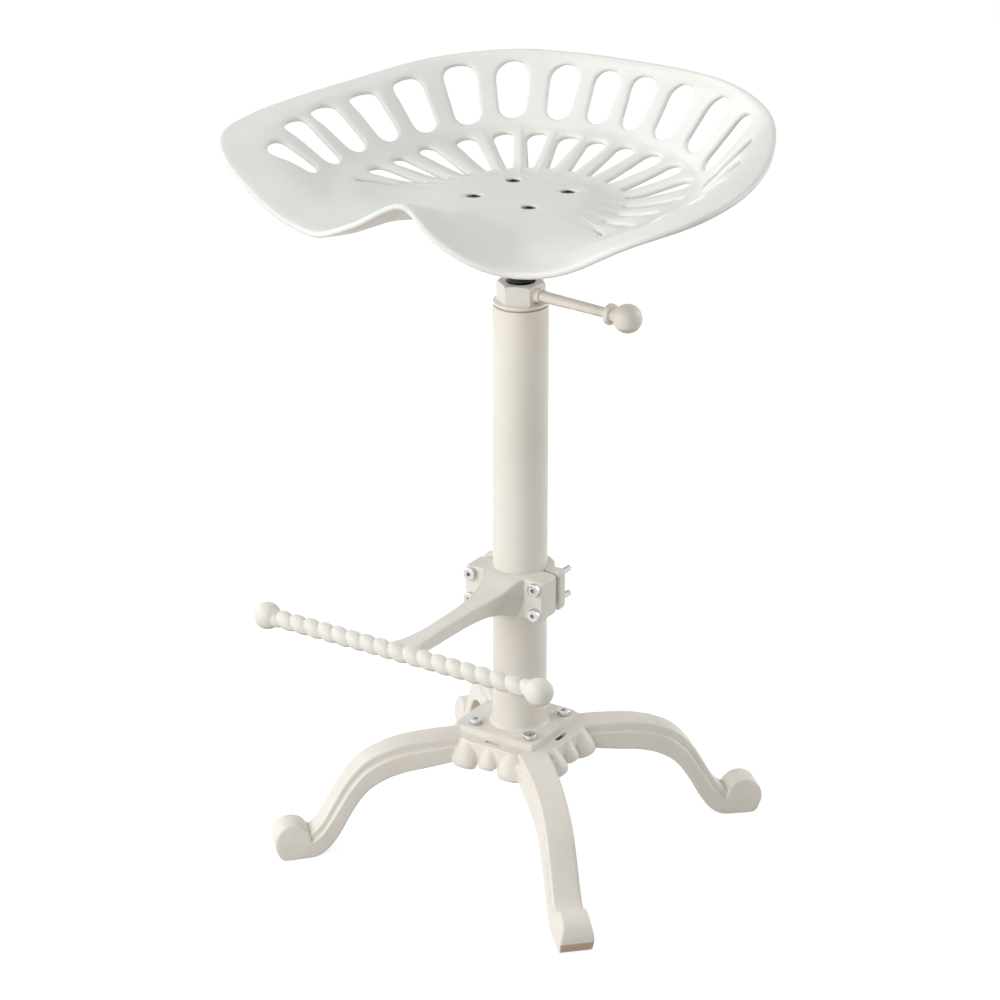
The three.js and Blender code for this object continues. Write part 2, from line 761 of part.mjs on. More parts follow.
// Lock nut with its ball lever
function lock_nut_body() {
  const turn = nut_turn_deg * degree;
  const corner = nut_corner_radius;
  const sides = polygon(corner, hexagon, turn + half_turn / hexagon);
  const blank = solid(prism(sides, nut_bottom_height, nut_top_height));
  const cone = solid(turned([
    [0, nut_bottom_height - bury],
    [corner + nut_chamfer, nut_bottom_height - bury],
    [corner + nut_chamfer, nut_top_height - nut_chamfer * 2],
    [corner - nut_chamfer, nut_top_height],
    [0, nut_top_height],
  ], round_segments));
  const boss_start = corner * Math.cos(half_turn / hexagon) - bury;
  const boss = solid(rod(lever_boss_radius, boss_start, boss_start + bury + lever_boss_length, small_segments)
    .rotateY(quarter).rotateZ(turn).translate(0, 0, lever_height));
  const bore = solid(rod(spindle_radius + running_gap, nut_bottom_height - bury, nut_top_height + bury,
    round_segments));
  const socket = solid(rod(lever_radius + gap, boss_start + bury - lever_seat_depth,
    corner + lever_boss_length + bury, small_segments).rotateY(quarter).rotateZ(turn)
    .translate(0, 0, lever_height));
  const flat = corner * Math.cos(half_turn / hexagon);
  const pin_turn = turn + nut_pin_hole_turn_deg * degree;
  const pin = solid(rod(nut_pin_hole_radius, flat - nut_pin_hole_depth, corner + bury, small_segments)
    .rotateY(quarter).rotateZ(pin_turn).translate(0, 0, nut_bottom_height + nut_pin_hole_lift));
  return cut(blank.intersect(cone).add(boss), [bore, socket, pin]);
}

function lever_geometry() {
  const start = nut_corner_radius * Math.cos(half_turn / hexagon) - lever_seat_depth + gap;
  const knob_face = knob_reach - Math.sqrt(knob_radius ** 2 - lever_neck_radius ** 2);
  const stop_end = knob_face - lever_neck_length;
  const stop_start = stop_end - lever_stop_thickness;
  const pin_end = knob_face + knob_hole_depth - gap;
  return turned([
    [0, start],
    [lever_radius, start],
    [lever_tip_radius, stop_start],
    [lever_stop_radius - lever_stop_bevel, stop_start],
    [lever_stop_radius, stop_start + lever_stop_bevel],
    [lever_stop_radius, stop_end - lever_stop_bevel],
    [lever_neck_radius + lever_stop_bevel / 2, stop_end],
    [lever_neck_radius, knob_face],
    [lever_tip_radius, knob_face],
    [lever_tip_radius, pin_end],
    [0, pin_end],
  ], small_segments).rotateY(quarter).rotateZ(nut_turn_deg * degree).translate(0, 0, lever_height);
}

function knob_geometry() {
  const hole = lever_tip_radius + gap;
  const rows = ball_segments / 2;
  const sink = Math.asin(lever_neck_radius / knob_radius);
  const face = -knob_radius * Math.cos(sink);
  const profile = [[0, face + knob_hole_depth], [hole, face + knob_hole_depth], [hole, face]];
  for (let row = 0; row <= rows; row += 1) {
    const angle = sink + ((half_turn - sink) * row) / rows;
    profile.push([row === rows ? 0 : knob_radius * Math.sin(angle), -knob_radius * Math.cos(angle)]);
  }
  return turned(profile, ball_segments).rotateY(quarter).translate(knob_reach, 0, 0)
    .rotateZ(nut_turn_deg * degree).translate(0, 0, lever_height);
}

// Column, collar and flange
function collar_geometry() {
  const plug = tube_bore_radius - gap;
  const ring = column_radius - collar_ring_inset;
  const bore = spindle_radius + running_gap;
  const low = column_top_height - collar_plug_length;
  return turned([
    [bore, low],
    [plug, low],
    [plug, column_top_height],
    [ring - collar_ring_inset, column_top_height],
    [ring - collar_ring_inset, ring_bottom_height],
    [ring, ring_bottom_height],
    [ring, ring_top_height],
    [bore, ring_top_height],
    [bore, low],
  ], round_segments);
}

function flange_body() {
  const corners = cropped_square(flange_side / 2, flange_corner);
  const plate = solid(prism(corners, base_top_height, flange_top_height));
  return cut(plate, four_holes(flange_screw_pitch_radius, (x, y) => solid(
    rod(flange_screw_shank_radius + gap, base_top_height - bury, flange_top_height + bury, small_segments)
      .translate(x, y, 0),
  )));
}

// A cap screw along +Z with its head's seat at the given height
function cap_screw_body(shank, head, head_height, length, socket, socket_depth, seat_height) {
  const body = solid(turned([
    [0, seat_height - length],
    [shank, seat_height - length],
    [shank, seat_height],
    [head, seat_height],
    [head, seat_height + head_height - cap_screw_bevel],
    [head - cap_screw_bevel, seat_height + head_height],
    [0, seat_height + head_height],
  ], screw_segments));
  const key = solid(prism(polygon(socket, hexagon, 0), seat_height + head_height - socket_depth,
    seat_height + head_height + bury));
  return body.subtract(key);
}

// Base casting
function leg_body() {
  const rings = leg_reach_shares.map((share, k) => {
    const reach = leg_reach * share;
    const top = base_top_height * leg_top_shares[k];
    const low = base_top_height * leg_bottom_shares[k];
    const half = leg_half_width * leg_width_shares[k];
    const side = leg_section_across_shares.map((across, j) => (
      [reach, half * across, low + (top - low) * leg_section_up_shares[j]]));
    const back = side.slice(0, -1).reverse().map(([x, y, z]) => [x, -y, z]);
    return [...side, ...back];
  });
  const leg = solid(loft(rings));
  const bevel = scroll_bevel;
  const scroll = solid(turned([
    [0, -leg_half_width],
    [scroll_radius - bevel, -leg_half_width],
    [scroll_radius, bevel - leg_half_width],
    [scroll_radius, leg_half_width - bevel],
    [scroll_radius - bevel, leg_half_width],
    [0, leg_half_width],
  ], scroll_segments).rotateX(quarter).translate(leg_reach, 0, scroll_radius - toe_flat));
  const toe_corners = toe_reach_shares.map((share, k) => (
    [leg_reach + scroll_radius * share, scroll_radius * toe_height_shares[k]]));
  const toe_half = leg_half_width - bevel / 2;
  const toe = solid(prism(toe_corners, -toe_half, toe_half).rotateX(quarter));
  const floor = solid(box(0, 2 * leg_reach, -leg_reach, leg_reach, -scroll_radius, 0));
  return joined([leg, scroll, toe]).subtract(floor);
}

function lobe(radius, height) {
  const across_shares = [0, 0.7, 1, 0.88, 0.52, 0];
  const up_shares = [0, 0.08, 0.34, 0.62, 0.88, 1];
  const profile = across_shares.map((share, k) => [radius * share, height * (up_shares[k] - 1)]);
  return turned(profile, lobe_segments).scale(1, lobe_depth_share, 1).rotateX(-lobe_lean_deg * degree);
}

function base_body() {
  const legs = four_holes(1, (x, y) => leg_body().rotate([0, 0, Math.atan2(y, x) / degree]));
  const side = hub_half_side;
  const crop = 2 * hub_half_side - hub_corner_reach;
  const block = solid(prism(cropped_square(side, crop), hub_bottom_height, base_top_height));
  const core = solid(rod(hub_core_radius, hub_bottom_height - lobe_drop, base_top_height, round_segments));
  const lobes = [];
  const holes = [];
  for (let k = 0; k < 4; k += 1) {
    const turn = quarter * k;
    const big_top = base_top_height - lobe_drop;
    const small_top = base_top_height - small_lobe_drop;
    [-lobe_offset, lobe_offset].forEach((x) => lobes.push(
      solid(lobe(lobe_radius, lobe_height).translate(x, -lobe_set_back, big_top).rotateZ(turn)),
    ));
    lobes.push(solid(lobe(small_lobe_radius, small_lobe_height).translate(0, -small_lobe_set_back, small_top)
      .rotateZ(turn)));
    const half = apron_hole_length / 2;
    const near = apron_hole_set_back - apron_hole_width / 2;
    const far = apron_hole_set_back + apron_hole_width / 2;
    const round = apron_hole_width / 2;
    holes.push(solid(prism([
      [-half, -near], [-half, -near - round], [-half + round, -far], [half - round, -far],
      [half, -near - round], [half, -near],
    ], hub_bottom_height - lobe_height, base_top_height + bury).rotateZ(turn)));
  }
  const screw_tip = flange_top_height - flange_screw_length;
  const screws = four_holes(flange_screw_pitch_radius, (x, y) => solid(
    rod(flange_screw_shank_radius + gap, screw_tip - bury, base_top_height + bury, small_segments)
      .translate(x, y, 0),
  ));
  return cut(joined([block, core, ...legs, ...lobes]), [...holes, ...screws]);
}

// Footrest
function half_ring(inner, outer, low, high, front) {
  const ring = solid(sleeve(inner, outer, low, high, round_segments));
  const edge = 2 * outer;
  const drop = front
    ? box(-edge, edge, -lug_back_set_back, edge, low - bury, high + bury)
    : box(-edge, edge, -edge, rear_lug_start, low - bury, high + bury);
  return ring.subtract(solid(drop));
}

function lugs(near, far, low, high) {
  return [-1, 1].map((side) => {
    const [inner, outer, crop] = [lug_inner, lug_outer, lug_corner];
    const corners = [[inner, low], [outer - crop, low], [outer, low + crop], [outer, high - crop],
      [outer - crop, high], [inner, high]];
    return solid(prism(corners.map(([x, z]) => [side * x, z]), near, far).rotateX(quarter)
      .scale(1, -1, 1));
  });
}

function clamp_holes(radius) {
  const reach = clamp_screw_length + lug_front_set_back;
  return [-1, 1].flatMap((side) => [-1, 1].map((up) => solid(
    rod(radius, -reach, reach, small_segments).rotateX(quarter)
      .translate(side * clamp_screw_offset, 0, footrest_height + up * clamp_screw_rise),
  )));
}

function arm_body() {
  const rings = arm_set_back_shares.map((share, k) => {
    const y = -bar_set_back * share;
    const half = arm_half_width * arm_width_shares[k];
    const top = footrest_height + (clamp_height / 2) * arm_top_shares[k];
    const low = footrest_height + (clamp_height / 2) * arm_bottom_shares[k];
    const edge = top - (top - low) * (1 - arm_edge_share);
    const foot = half * arm_foot_share;
    return [[-foot, y, low], [foot, y, low], [half, y, edge], [half * arm_edge_share, y, top],
      [-half * arm_edge_share, y, top], [-half, y, edge]];
  });
  return solid(loft(rings));
}

function twisted_bar_body() {
  const twists = Math.round((2 * bar_half_length) / bar_twist_pitch);
  const steps = twists * bar_steps_per_twist;
  const rings = Array.from({ length: steps + 1 }, (_, k) => {
    const x = -bar_half_length + (2 * bar_half_length * k) / steps;
    const turn = (k / bar_steps_per_twist) * full_turn;
    return Array.from({ length: bar_sides }, (__, j) => {
      const angle = (j / bar_sides) * full_turn;
      const crest = Math.sqrt(Math.abs(Math.cos((angle - turn) / 2)));
      const radius = bar_radius - bar_groove * (1 - crest);
      return [x, radius * Math.cos(angle), radius * Math.sin(angle)];
    });
  });
  return solid(loft(rings).translate(0, -bar_set_back, bar_height));
}

function footrest_body() {
  const low = footrest_height - clamp_height / 2;
  const high = footrest_height + clamp_height / 2;
  const saddle = half_ring(column_radius + gap, column_radius + gap + saddle_wall, low, high, true);
  const bore = solid(rod(column_radius + gap, low - bury, high + bury, round_segments));
  const balls = [-1, 1].map((side) => solid(
    ball(bar_ball_radius, ball_segments).rotateY(quarter)
      .translate(side * bar_half_length, -bar_set_back, bar_height),
  ));
  const whole = joined([saddle, ...lugs(-lug_front_set_back, -lug_back_set_back, low, high), arm_body(),
    twisted_bar_body(), ...balls]);
  return cut(whole, [bore, ...clamp_holes(clamp_screw_radius + gap)]);
}

function rear_clamp_body() {
  const low = footrest_height - clamp_height / 2;
  const high = footrest_height + clamp_height / 2;
  const shell = half_ring(column_radius + gap, column_radius + gap + rear_wall, low, high, false);
  const bore = solid(rod(column_radius + gap, low - bury, high + bury, round_segments));
  const whole = joined([shell, ...lugs(rear_lug_start, rear_lug_start + rear_lug_thickness, low, high)]);
  return cut(whole, [bore, ...clamp_holes(clamp_screw_radius + gap)]);
}

// Finishes: colour, roughness, metalness
const seat_paint = [0xe4e6e0, 0.5, 0];
const frame_paint = [0xe6e0d4, 0.32, 0];
const footrest_paint = [0xdedbd0, 0.45, 0];
const zinc = [0xcfd2d4, 0.3, 1];
const black_steel = [0x1c1b1a, 0.45, 0.6];
const guide_plastic = [0xd8d6cc, 0.6, 0];

const group = new THREE.Group();

function add(name, geometry, finish) {
  const [color, roughness, metalness] = finish;
  const mesh = new THREE.Mesh(geometry, new THREE.MeshStandardMaterial({ color, roughness, metalness }));
  mesh.name = name;
  group.add(mesh);
}

const seat_turn = seat_turn_deg * degree;

function add_turned(name, geometry, finish) {
  add(name, geometry.rotateZ(seat_turn), finish);
}

add('base_casting', surface(base_body()), frame_paint);
add('column_flange', surface(flange_body()), frame_paint);
four_holes(flange_screw_pitch_radius, (x, y) => [x, y]).forEach(([x, y], k) => {
  const screw = cap_screw_body(flange_screw_shank_radius, flange_screw_head_radius, flange_screw_head_height,
    flange_screw_length, flange_screw_socket_radius, flange_screw_socket_depth, flange_top_height);
  add(`base_screw_${k + 1}`, surface(screw).translate(x, y, 0), zinc);
});
add('column_tube', surface(solid(
  sleeve(tube_bore_radius, column_radius, flange_top_height, column_top_height, round_segments),
)), frame_paint);
add('column_collar', surface(solid(collar_geometry())), frame_paint);
add('lock_nut', surface(lock_nut_body()), frame_paint);
add('lever_rod', surface(solid(lever_geometry())), frame_paint);
add('lever_knob', surface(solid(knob_geometry())), frame_paint);

add('footrest_casting', surface(footrest_body()), footrest_paint);
add('footrest_rear_clamp', surface(rear_clamp_body()), footrest_paint);
[-1, 1].flatMap((side) => [1, -1].map((up) => [side, up])).forEach(([side, up], k) => {
  const screw = cap_screw_body(clamp_screw_radius, clamp_screw_head_radius, clamp_screw_head_height,
    clamp_screw_length, clamp_screw_socket_radius, clamp_screw_socket_depth, lug_front_set_back);
  add(`clamp_screw_${k + 1}`, surface(screw).rotateX(quarter)
    .translate(side * clamp_screw_offset, 0, footrest_height + up * clamp_screw_rise), zinc);
});

add_turned('spindle', surface(solid(spindle_geometry())), black_steel);
add('spindle_guide', surface(solid(guide_geometry())), guide_plastic);
const guide_nut_top = spindle_shoulder_height - 2 * gap - guide_height;
const guide_nut_low = guide_nut_top - guide_nut_height;
add_turned('guide_nut', surface(nut_body(guide_nut_across_flats, guide_nut_low, guide_nut_top,
  spindle_stud_radius + gap, 0)), zinc);
add_turned('seat_plate', surface(seat_plate_body()), black_steel);
add_turned('seat', surface(seat_body()), seat_paint);
four_holes(seat_hole_radius, (x, y) => [x, y]).forEach(([x, y], k) => {
  add_turned(`seat_screw_${k + 1}`, surface(solid(seat_screw_geometry())).translate(x, y, 0), black_steel);
  const nut = nut_body(seat_nut_across_flats, plate_under_height - seat_nut_height, plate_under_height,
    seat_screw_shank_radius + gap, 0);
  add_turned(`seat_nut_${k + 1}`, surface(nut).translate(x, y, 0), zinc);
});

// The object's own middle on the floor becomes the origin
const extent = new THREE.Box3().setFromObject(group);
const middle = extent.getCenter(new THREE.Vector3());
group.children.forEach((mesh) => mesh.geometry.translate(-middle.x, -middle.y, -extent.min.z));

export default group;
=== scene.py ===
"""Tractor seat stool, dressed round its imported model: metres, +Z up, the floor at zero."""

import logging
from dataclasses import dataclass, field
from enum import Enum
from math import asin, copysign, cos, pi, radians, sin, sqrt
from typing import Iterable, Sequence

import bpy
import numpy as np
from mathutils import Matrix, Vector


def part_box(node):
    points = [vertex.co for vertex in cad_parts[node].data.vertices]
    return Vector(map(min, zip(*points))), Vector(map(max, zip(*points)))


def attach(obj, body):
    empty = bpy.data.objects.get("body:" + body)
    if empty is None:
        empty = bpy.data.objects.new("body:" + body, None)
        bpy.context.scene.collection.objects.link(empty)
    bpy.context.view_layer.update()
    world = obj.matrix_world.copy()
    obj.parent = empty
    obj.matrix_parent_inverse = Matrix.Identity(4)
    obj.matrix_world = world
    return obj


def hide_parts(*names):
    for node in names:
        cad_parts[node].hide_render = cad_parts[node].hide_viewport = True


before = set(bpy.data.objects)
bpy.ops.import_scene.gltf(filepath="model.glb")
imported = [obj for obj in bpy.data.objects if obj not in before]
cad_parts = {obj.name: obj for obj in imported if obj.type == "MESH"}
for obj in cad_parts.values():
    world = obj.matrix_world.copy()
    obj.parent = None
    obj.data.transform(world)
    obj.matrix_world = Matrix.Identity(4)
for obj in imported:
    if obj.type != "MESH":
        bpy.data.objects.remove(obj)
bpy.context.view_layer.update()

MM = 0.001
FULL_TURN = 2.0 * pi
TINY = 1e-9
# How far a cutter reaches past what it cuts, in millimetres
OVERRUN = 3.0
# The clearance between pieces, in millimetres
GAP = 0.3
# The most of a side that one rounded corner takes
CORNER_SHARE = 0.45
# How far a point moves towards its neighbours in one smoothing pass
SMOOTH_SHARE = 0.5
# Edges sharper than this are rounded
EDGE_DEG = 32.0
# Edges sharper than these stay sharp, on plain, turned and cast pieces
PLAIN_DEG = 40.0
TURNED_DEG = 50.0
CAST_DEG = 60.0
# How far the seat stands turned on its spindle
SEAT_TURN_DEG = -3.3
LOG = logging.getLogger("stool")

Array = np.ndarray
Row = tuple[float, ...]
Pair = tuple[float, float]
Pairs = tuple[Pair, ...]
Loop = list[Pair]
Faces = list[tuple[int, ...]]
Spot = tuple[float, float, float]
Noise = tuple[float, float, float]
Tint = tuple[float, float, float, float]
Piece = bpy.types.Object
Node = bpy.types.Node
Socket = bpy.types.NodeSocket
Tree = bpy.types.NodeTree
Material = bpy.types.Material


class Axis(Enum):
    """An axis through the origin, by the two axes that turn about it."""

    X = (1, 2)
    Y = (2, 0)
    Z = (0, 1)


class Joining(Enum):
    """How one solid changes another."""

    ADD = "UNION"
    CUT = "DIFFERENCE"


class Body(Enum):
    """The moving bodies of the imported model."""

    COLUMN = "column"
    GUIDE = "guide"
    SEAT = "seat"
    LOCK = "lock"
    FOOTREST = "footrest"


class Slot(Enum):
    """The material slots."""

    SEAT_PAINT = "seat_paint"
    FRAME_PAINT = "frame_paint"
    FOOTREST_PAINT = "footrest_paint"
    ZINC = "zinc"
    BLACK_STEEL = "black_steel"
    GUIDE_PLASTIC = "guide_plastic"


# Skins in millimetres


@dataclass
class Skin:
    """A closed skin of points and faces in millimetres, before it becomes an object."""

    points: Array
    faces: Faces

    def moved(self, x: float = 0.0, y: float = 0.0, z: float = 0.0) -> "Skin":
        """A copy moved by x, y, z."""
        return Skin(self.points + np.array([x, y, z]), self.faces)

    def turned(self, axis: Axis, degrees: float) -> "Skin":
        """A copy turned about an axis through the origin.

        Args:
            axis: The axis.
            degrees: The turn by the right-hand rule.

        Returns:
            The turned skin.
        """
        c, s = cos(radians(degrees)), sin(radians(degrees))
        a, b = axis.value
        points = self.points.copy()
        points[:, a] = c * self.points[:, a] - s * self.points[:, b]
        points[:, b] = s * self.points[:, a] + c * self.points[:, b]
        return Skin(points, self.faces)

    def volume(self) -> float:
        """The volume inside, negative where the faces look inward.

        Returns:
            The volume in cubic millimetres.
        """
        total = 0.0
        for size in {len(face) for face in self.faces}:
            corners = self.points[np.array([face for face in self.faces if len(face) == size])]
            for k in range(1, size - 1):
                total += float(np.sum(corners[:, 0] * np.cross(corners[:, k], corners[:, k + 1])))
        return total / 6.0

    def outward(self) -> "Skin":
        """The same skin with its faces outward."""
        return self if self.volume() > 0 else Skin(self.points, [face[::-1] for face in self.faces])


def gathered(skins: Iterable[Skin]) -> Skin:
    """Several skins as one, each outward, with nothing fused.

    Args:
        skins: The skins.

    Returns:
        One skin.
    """
    points: list[Array] = []
    faces: Faces = []
    count = 0
    for skin in (skin.outward() for skin in skins):
        points.append(skin.points)
        faces.extend(tuple(i + count for i in face) for face in skin.faces)
        count += len(skin.points)
    return Skin(np.concatenate(points), faces)


def circle(turn: Array, radius: float | Array, height: float) -> Array:
    """Points about Z at one height."""
    return np.stack([radius * np.cos(turn), radius * np.sin(turn), np.full(len(turn), height)], 1)


def lathe(profile: Loop, segments: int) -> Skin:
    """Turns a profile about Z.

    Args:
        profile: Radius and height pairs, from low to high up the outside. It starts and ends on the
            axis, or ends where it starts for a ring.
        segments: Sides of the turned skin.

    Returns:
        The closed skin.
    """
    ring = profile[0] == profile[-1] and profile[0][0] > 0
    rows = profile[:-1] if ring else profile
    turn = np.arange(segments) * FULL_TURN / segments
    points: list[Array] = []
    starts: list[tuple[int, bool]] = []
    for radius, height in rows:
        starts.append((sum(len(p) for p in points), radius == 0))
        if radius == 0:
            points.append(np.array([[0.0, 0.0, height]]))
        else:
            points.append(circle(turn, radius, height))
    faces: Faces = []
    pairs = list(zip(starts, starts[1:] + (starts[:1] if ring else [])))
    for (low, low_tip), (high, high_tip) in pairs:
        for k in range(segments):
            j = (k + 1) % segments
            if low_tip and not high_tip:
                faces.append((low, high + j, high + k))
            elif high_tip and not low_tip:
                faces.append((low + k, low + j, high))
            elif not low_tip:
                faces.append((low + k, low + j, high + j, high + k))
    return Skin(np.concatenate(points), faces)


def loft(rings: Sequence[Array]) -> Skin:
    """A closed skin through rings that all have the same number of points.

    Args:
        rings: The rings, from one end to the other.

    Returns:
        The closed skin.
    """
    count = len(rings[0])
    faces: Faces = [tuple(range(count))[::-1]]
    for row in range(len(rings) - 1):
        for k in range(count):
            j = (k + 1) % count
            a, b = row * count + k, row * count + j
            faces.append((a, b, b + count, a + count))
    last = (len(rings) - 1) * count
    faces.append(tuple(range(last, last + count)))
    return Skin(np.concatenate(rings), faces)


def prism(outline: Loop, low: float, high: float) -> Skin:
    """An outline, counter-clockwise from above, drawn from one height to another."""
    flat = np.array(outline, float)
    return loft([np.column_stack([flat, np.full(len(flat), height)]) for height in (low, high)])


def rounded(profile: Loop, radius: float, steps: int = 4) -> Loop:
    """Rounds every inner corner of an open profile by an arc that reaches radius along each side.

    Args:
        profile: The profile's corners.
        radius: The reach along each side.
        steps: Steps of each arc.

    Returns:
        The rounded profile.
    """
    result = [profile[0]]
    for before, corner, after in zip(profile, profile[1:], profile[2:]):
        a, b, c = (np.array(p, float) for p in (before, corner, after))
        reach = min(radius, CORNER_SHARE * np.linalg.norm(a - b), CORNER_SHARE * np.linalg.norm(c - b))
        start = b + (a - b) / np.linalg.norm(a - b) * reach
        finish = b + (c - b) / np.linalg.norm(c - b) * reach
        for t in np.linspace(0.0, 1.0, steps + 1):
            point = (1 - t) ** 2 * start + 2 * t * (1 - t) * b + t * t * finish
            result.append((float(point[0]), float(point[1])))
    result.append(profile[-1])
    return result


def ring_profile(inner: float, outer: float, low: float, high: float, radius: float) -> Loop:
    """A ring's profile with rounded corners.

    Args:
        inner: The inner radius.
        outer: The outer radius.
        low: The lower face.
        high: The upper face.
        radius: The rounding of its corners.

    Returns:
        The closed profile.
    """
    middle = (inner + outer) / 2
    corners = [(middle, low), (outer, low), (outer, high), (inner, high), (inner, low), (middle, low)]
    return rounded(corners, radius)


def rod(radius: float, low: float, high: float, segments: int, edge: float = 0.0) -> Skin:
    """A plain round bar with an eased edge at both ends."""
    profile: Loop = [(0.0, low), (radius, low), (radius, high), (0.0, high)]
    return lathe(rounded(profile, edge, 3) if edge > 0 else profile, segments)


def globe(radius: float, segments: int) -> Skin:
    """A ball turned about Z.

    Args:
        radius: The ball's radius.
        segments: Sides round its middle.

    Returns:
        The closed skin.
    """
    rows = segments // 2
    angles = np.linspace(-pi / 2, pi / 2, rows + 1)
    profile = [(radius * cos(a), radius * sin(a)) for a in angles]
    profile[0], profile[-1] = (0.0, -radius), (0.0, radius)
    return lathe(profile, segments)


def polygon(radius: float, sides: int, turn_deg: float = 0.0) -> Loop:
    """Corners of an even polygon."""
    turns = [radians(turn_deg) + FULL_TURN * k / sides for k in range(sides)]
    return [(radius * cos(t), radius * sin(t)) for t in turns]


def soft_square(half: float, corner: float, steps: int = 5) -> Loop:
    """A square with rounded corners.

    Args:
        half: Half its side.
        corner: Its corners' radius.
        steps: Steps of each corner.

    Returns:
        The outline, counter-clockwise.
    """
    inner = half - corner
    outline: Loop = []
    for k in range(4):
        middle = radians(45 + 90 * k)
        centre = (copysign(inner, cos(middle)), copysign(inner, sin(middle)))
        for j in range(steps + 1):
            turn = radians(90 * k + 90 * j / steps)
            outline.append((centre[0] + corner * cos(turn), centre[1] + corner * sin(turn)))
    return outline


def four_spots(radius: float) -> list[Pair]:
    """Four places on the diagonals."""
    return polygon(radius, 4, 45)


# Objects


def axis_place() -> Vector:
    """Where the column's axis meets the floor, in metres."""
    low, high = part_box("column_tube")
    return Vector(((low.x + high.x) / 2, (low.y + high.y) / 2, 0.0))


def settled(piece: Piece) -> Piece:
    """Applies the modifiers on a piece.

    Args:
        piece: The piece.

    Returns:
        The same piece.
    """
    bpy.context.view_layer.update()
    graph = bpy.context.evaluated_depsgraph_get()
    mesh = bpy.data.meshes.new_from_object(piece.evaluated_get(graph))
    mesh.name = piece.name
    piece.modifiers.clear()
    piece.data = mesh
    return piece


def as_object(name: str, skin: Skin) -> Piece:
    """A piece made of one skin in metres, placed about the column's axis and linked into the scene.

    Args:
        name: The piece's name.
        skin: Its skin.

    Returns:
        The piece.
    """
    mesh = bpy.data.meshes.new(name)
    mesh.from_pydata((skin.points * MM + np.array(axis_place())).tolist(), [], skin.outward().faces)
    mesh.validate()
    mesh.update()
    piece = bpy.data.objects.new(name, mesh)
    bpy.context.scene.collection.objects.link(piece)
    return piece


def fused(name: str, skins: Iterable[Skin], voxel: float, passes: int) -> Piece:
    """Overlapping skins run together like one casting, with eased edges.

    Args:
        name: The piece's name.
        skins: Closed skins that overlap.
        voxel: The size of the new mesh, in millimetres.
        passes: How often its points are smoothed.

    Returns:
        The fused piece.
    """
    piece = as_object(name, gathered(skins))
    remesh = piece.modifiers.new("fuse", "REMESH")
    remesh.mode = "VOXEL"
    remesh.voxel_size = voxel * MM
    smooth = piece.modifiers.new("ease", "SMOOTH")
    smooth.factor = SMOOTH_SHARE
    smooth.iterations = passes
    return settled(piece)


def changed(piece: Piece, skins: Iterable[Skin], joining: Joining) -> Piece:
    """Adds skins to a piece or cuts them out of it.

    Args:
        piece: The piece that is changed.
        skins: Closed skins, clear of each other.
        joining: Whether they are added or cut.

    Returns:
        The same piece.
    """
    tool = as_object("tool", gathered(skins))
    change = piece.modifiers.new("change", "BOOLEAN")
    change.operation = joining.value
    change.solver = "MANIFOLD"
    change.object = tool
    settled(piece)
    bpy.data.objects.remove(tool)
    return piece


def carved(piece: Piece, cutters: Iterable[Skin]) -> Piece:
    """Cuts skins out of a piece."""
    return changed(piece, cutters, Joining.CUT)


def joined(piece: Piece, extras: Iterable[Skin]) -> Piece:
    """Adds skins to a piece where they overlap it."""
    return changed(piece, extras, Joining.ADD)


def eased(piece: Piece, width: float, steps: int = 3) -> Piece:
    """Rounds a piece's sharp edges by width, in millimetres.

    Args:
        piece: The piece.
        width: The rounding.
        steps: Steps across it.

    Returns:
        The same piece.
    """
    bevel = piece.modifiers.new("ease", "BEVEL")
    bevel.width = width * MM
    bevel.segments = steps
    bevel.limit_method = "ANGLE"
    bevel.angle_limit = radians(EDGE_DEG)
    bevel.harden_normals = False
    return settled(piece)


@dataclass(frozen=True)
class HexNut:
    """A plain hexagon nut."""

    across: float
    height: float
    bore: float
    easing: float

    def build(self, name: str, high: float, spot: Pair = (0.0, 0.0)) -> Piece:
        """Makes the nut.

        Args:
            name: The piece's name.
            high: The height of its upper face.
            spot: Its place before it is turned with the seat.

        Returns:
            The nut.
        """
        low = high - self.height
        body = prism(polygon(self.across / sqrt(3), 6), low, high)
        bore = rod(self.bore, low - OVERRUN, high + OVERRUN, 32)
        body, bore = (skin.moved(*spot).turned(Axis.Z, SEAT_TURN_DEG) for skin in (body, bore))
        return eased(carved(as_object(name, body), [bore]), self.easing)


@dataclass(frozen=True)
class Fit:
    """What a piece stands for and where it belongs."""

    body: Body
    slot: Slot
    material: Material
    crease_deg: float = PLAIN_DEG


def place(piece: Piece, fit: Fit, *nodes: str) -> Piece:
    """Dresses a piece and puts it on its body.

    Args:
        piece: The finished mesh.
        fit: Its body, slot, material and the angle above which an edge stays sharp.
        nodes: The CAD nodes that it stands for.

    Returns:
        The same piece.
    """
    piece.data.materials.clear()
    piece.data.materials.append(fit.material)
    piece.data.shade_smooth()
    piece.data.set_sharp_from_angle(angle=radians(fit.crease_deg))
    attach(piece, fit.body.value)
    if nodes:
        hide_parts(*nodes)
    LOG.info("%s: %d faces on %s", piece.name, len(piece.data.polygons), fit.body.value)
    return piece


# Finishes


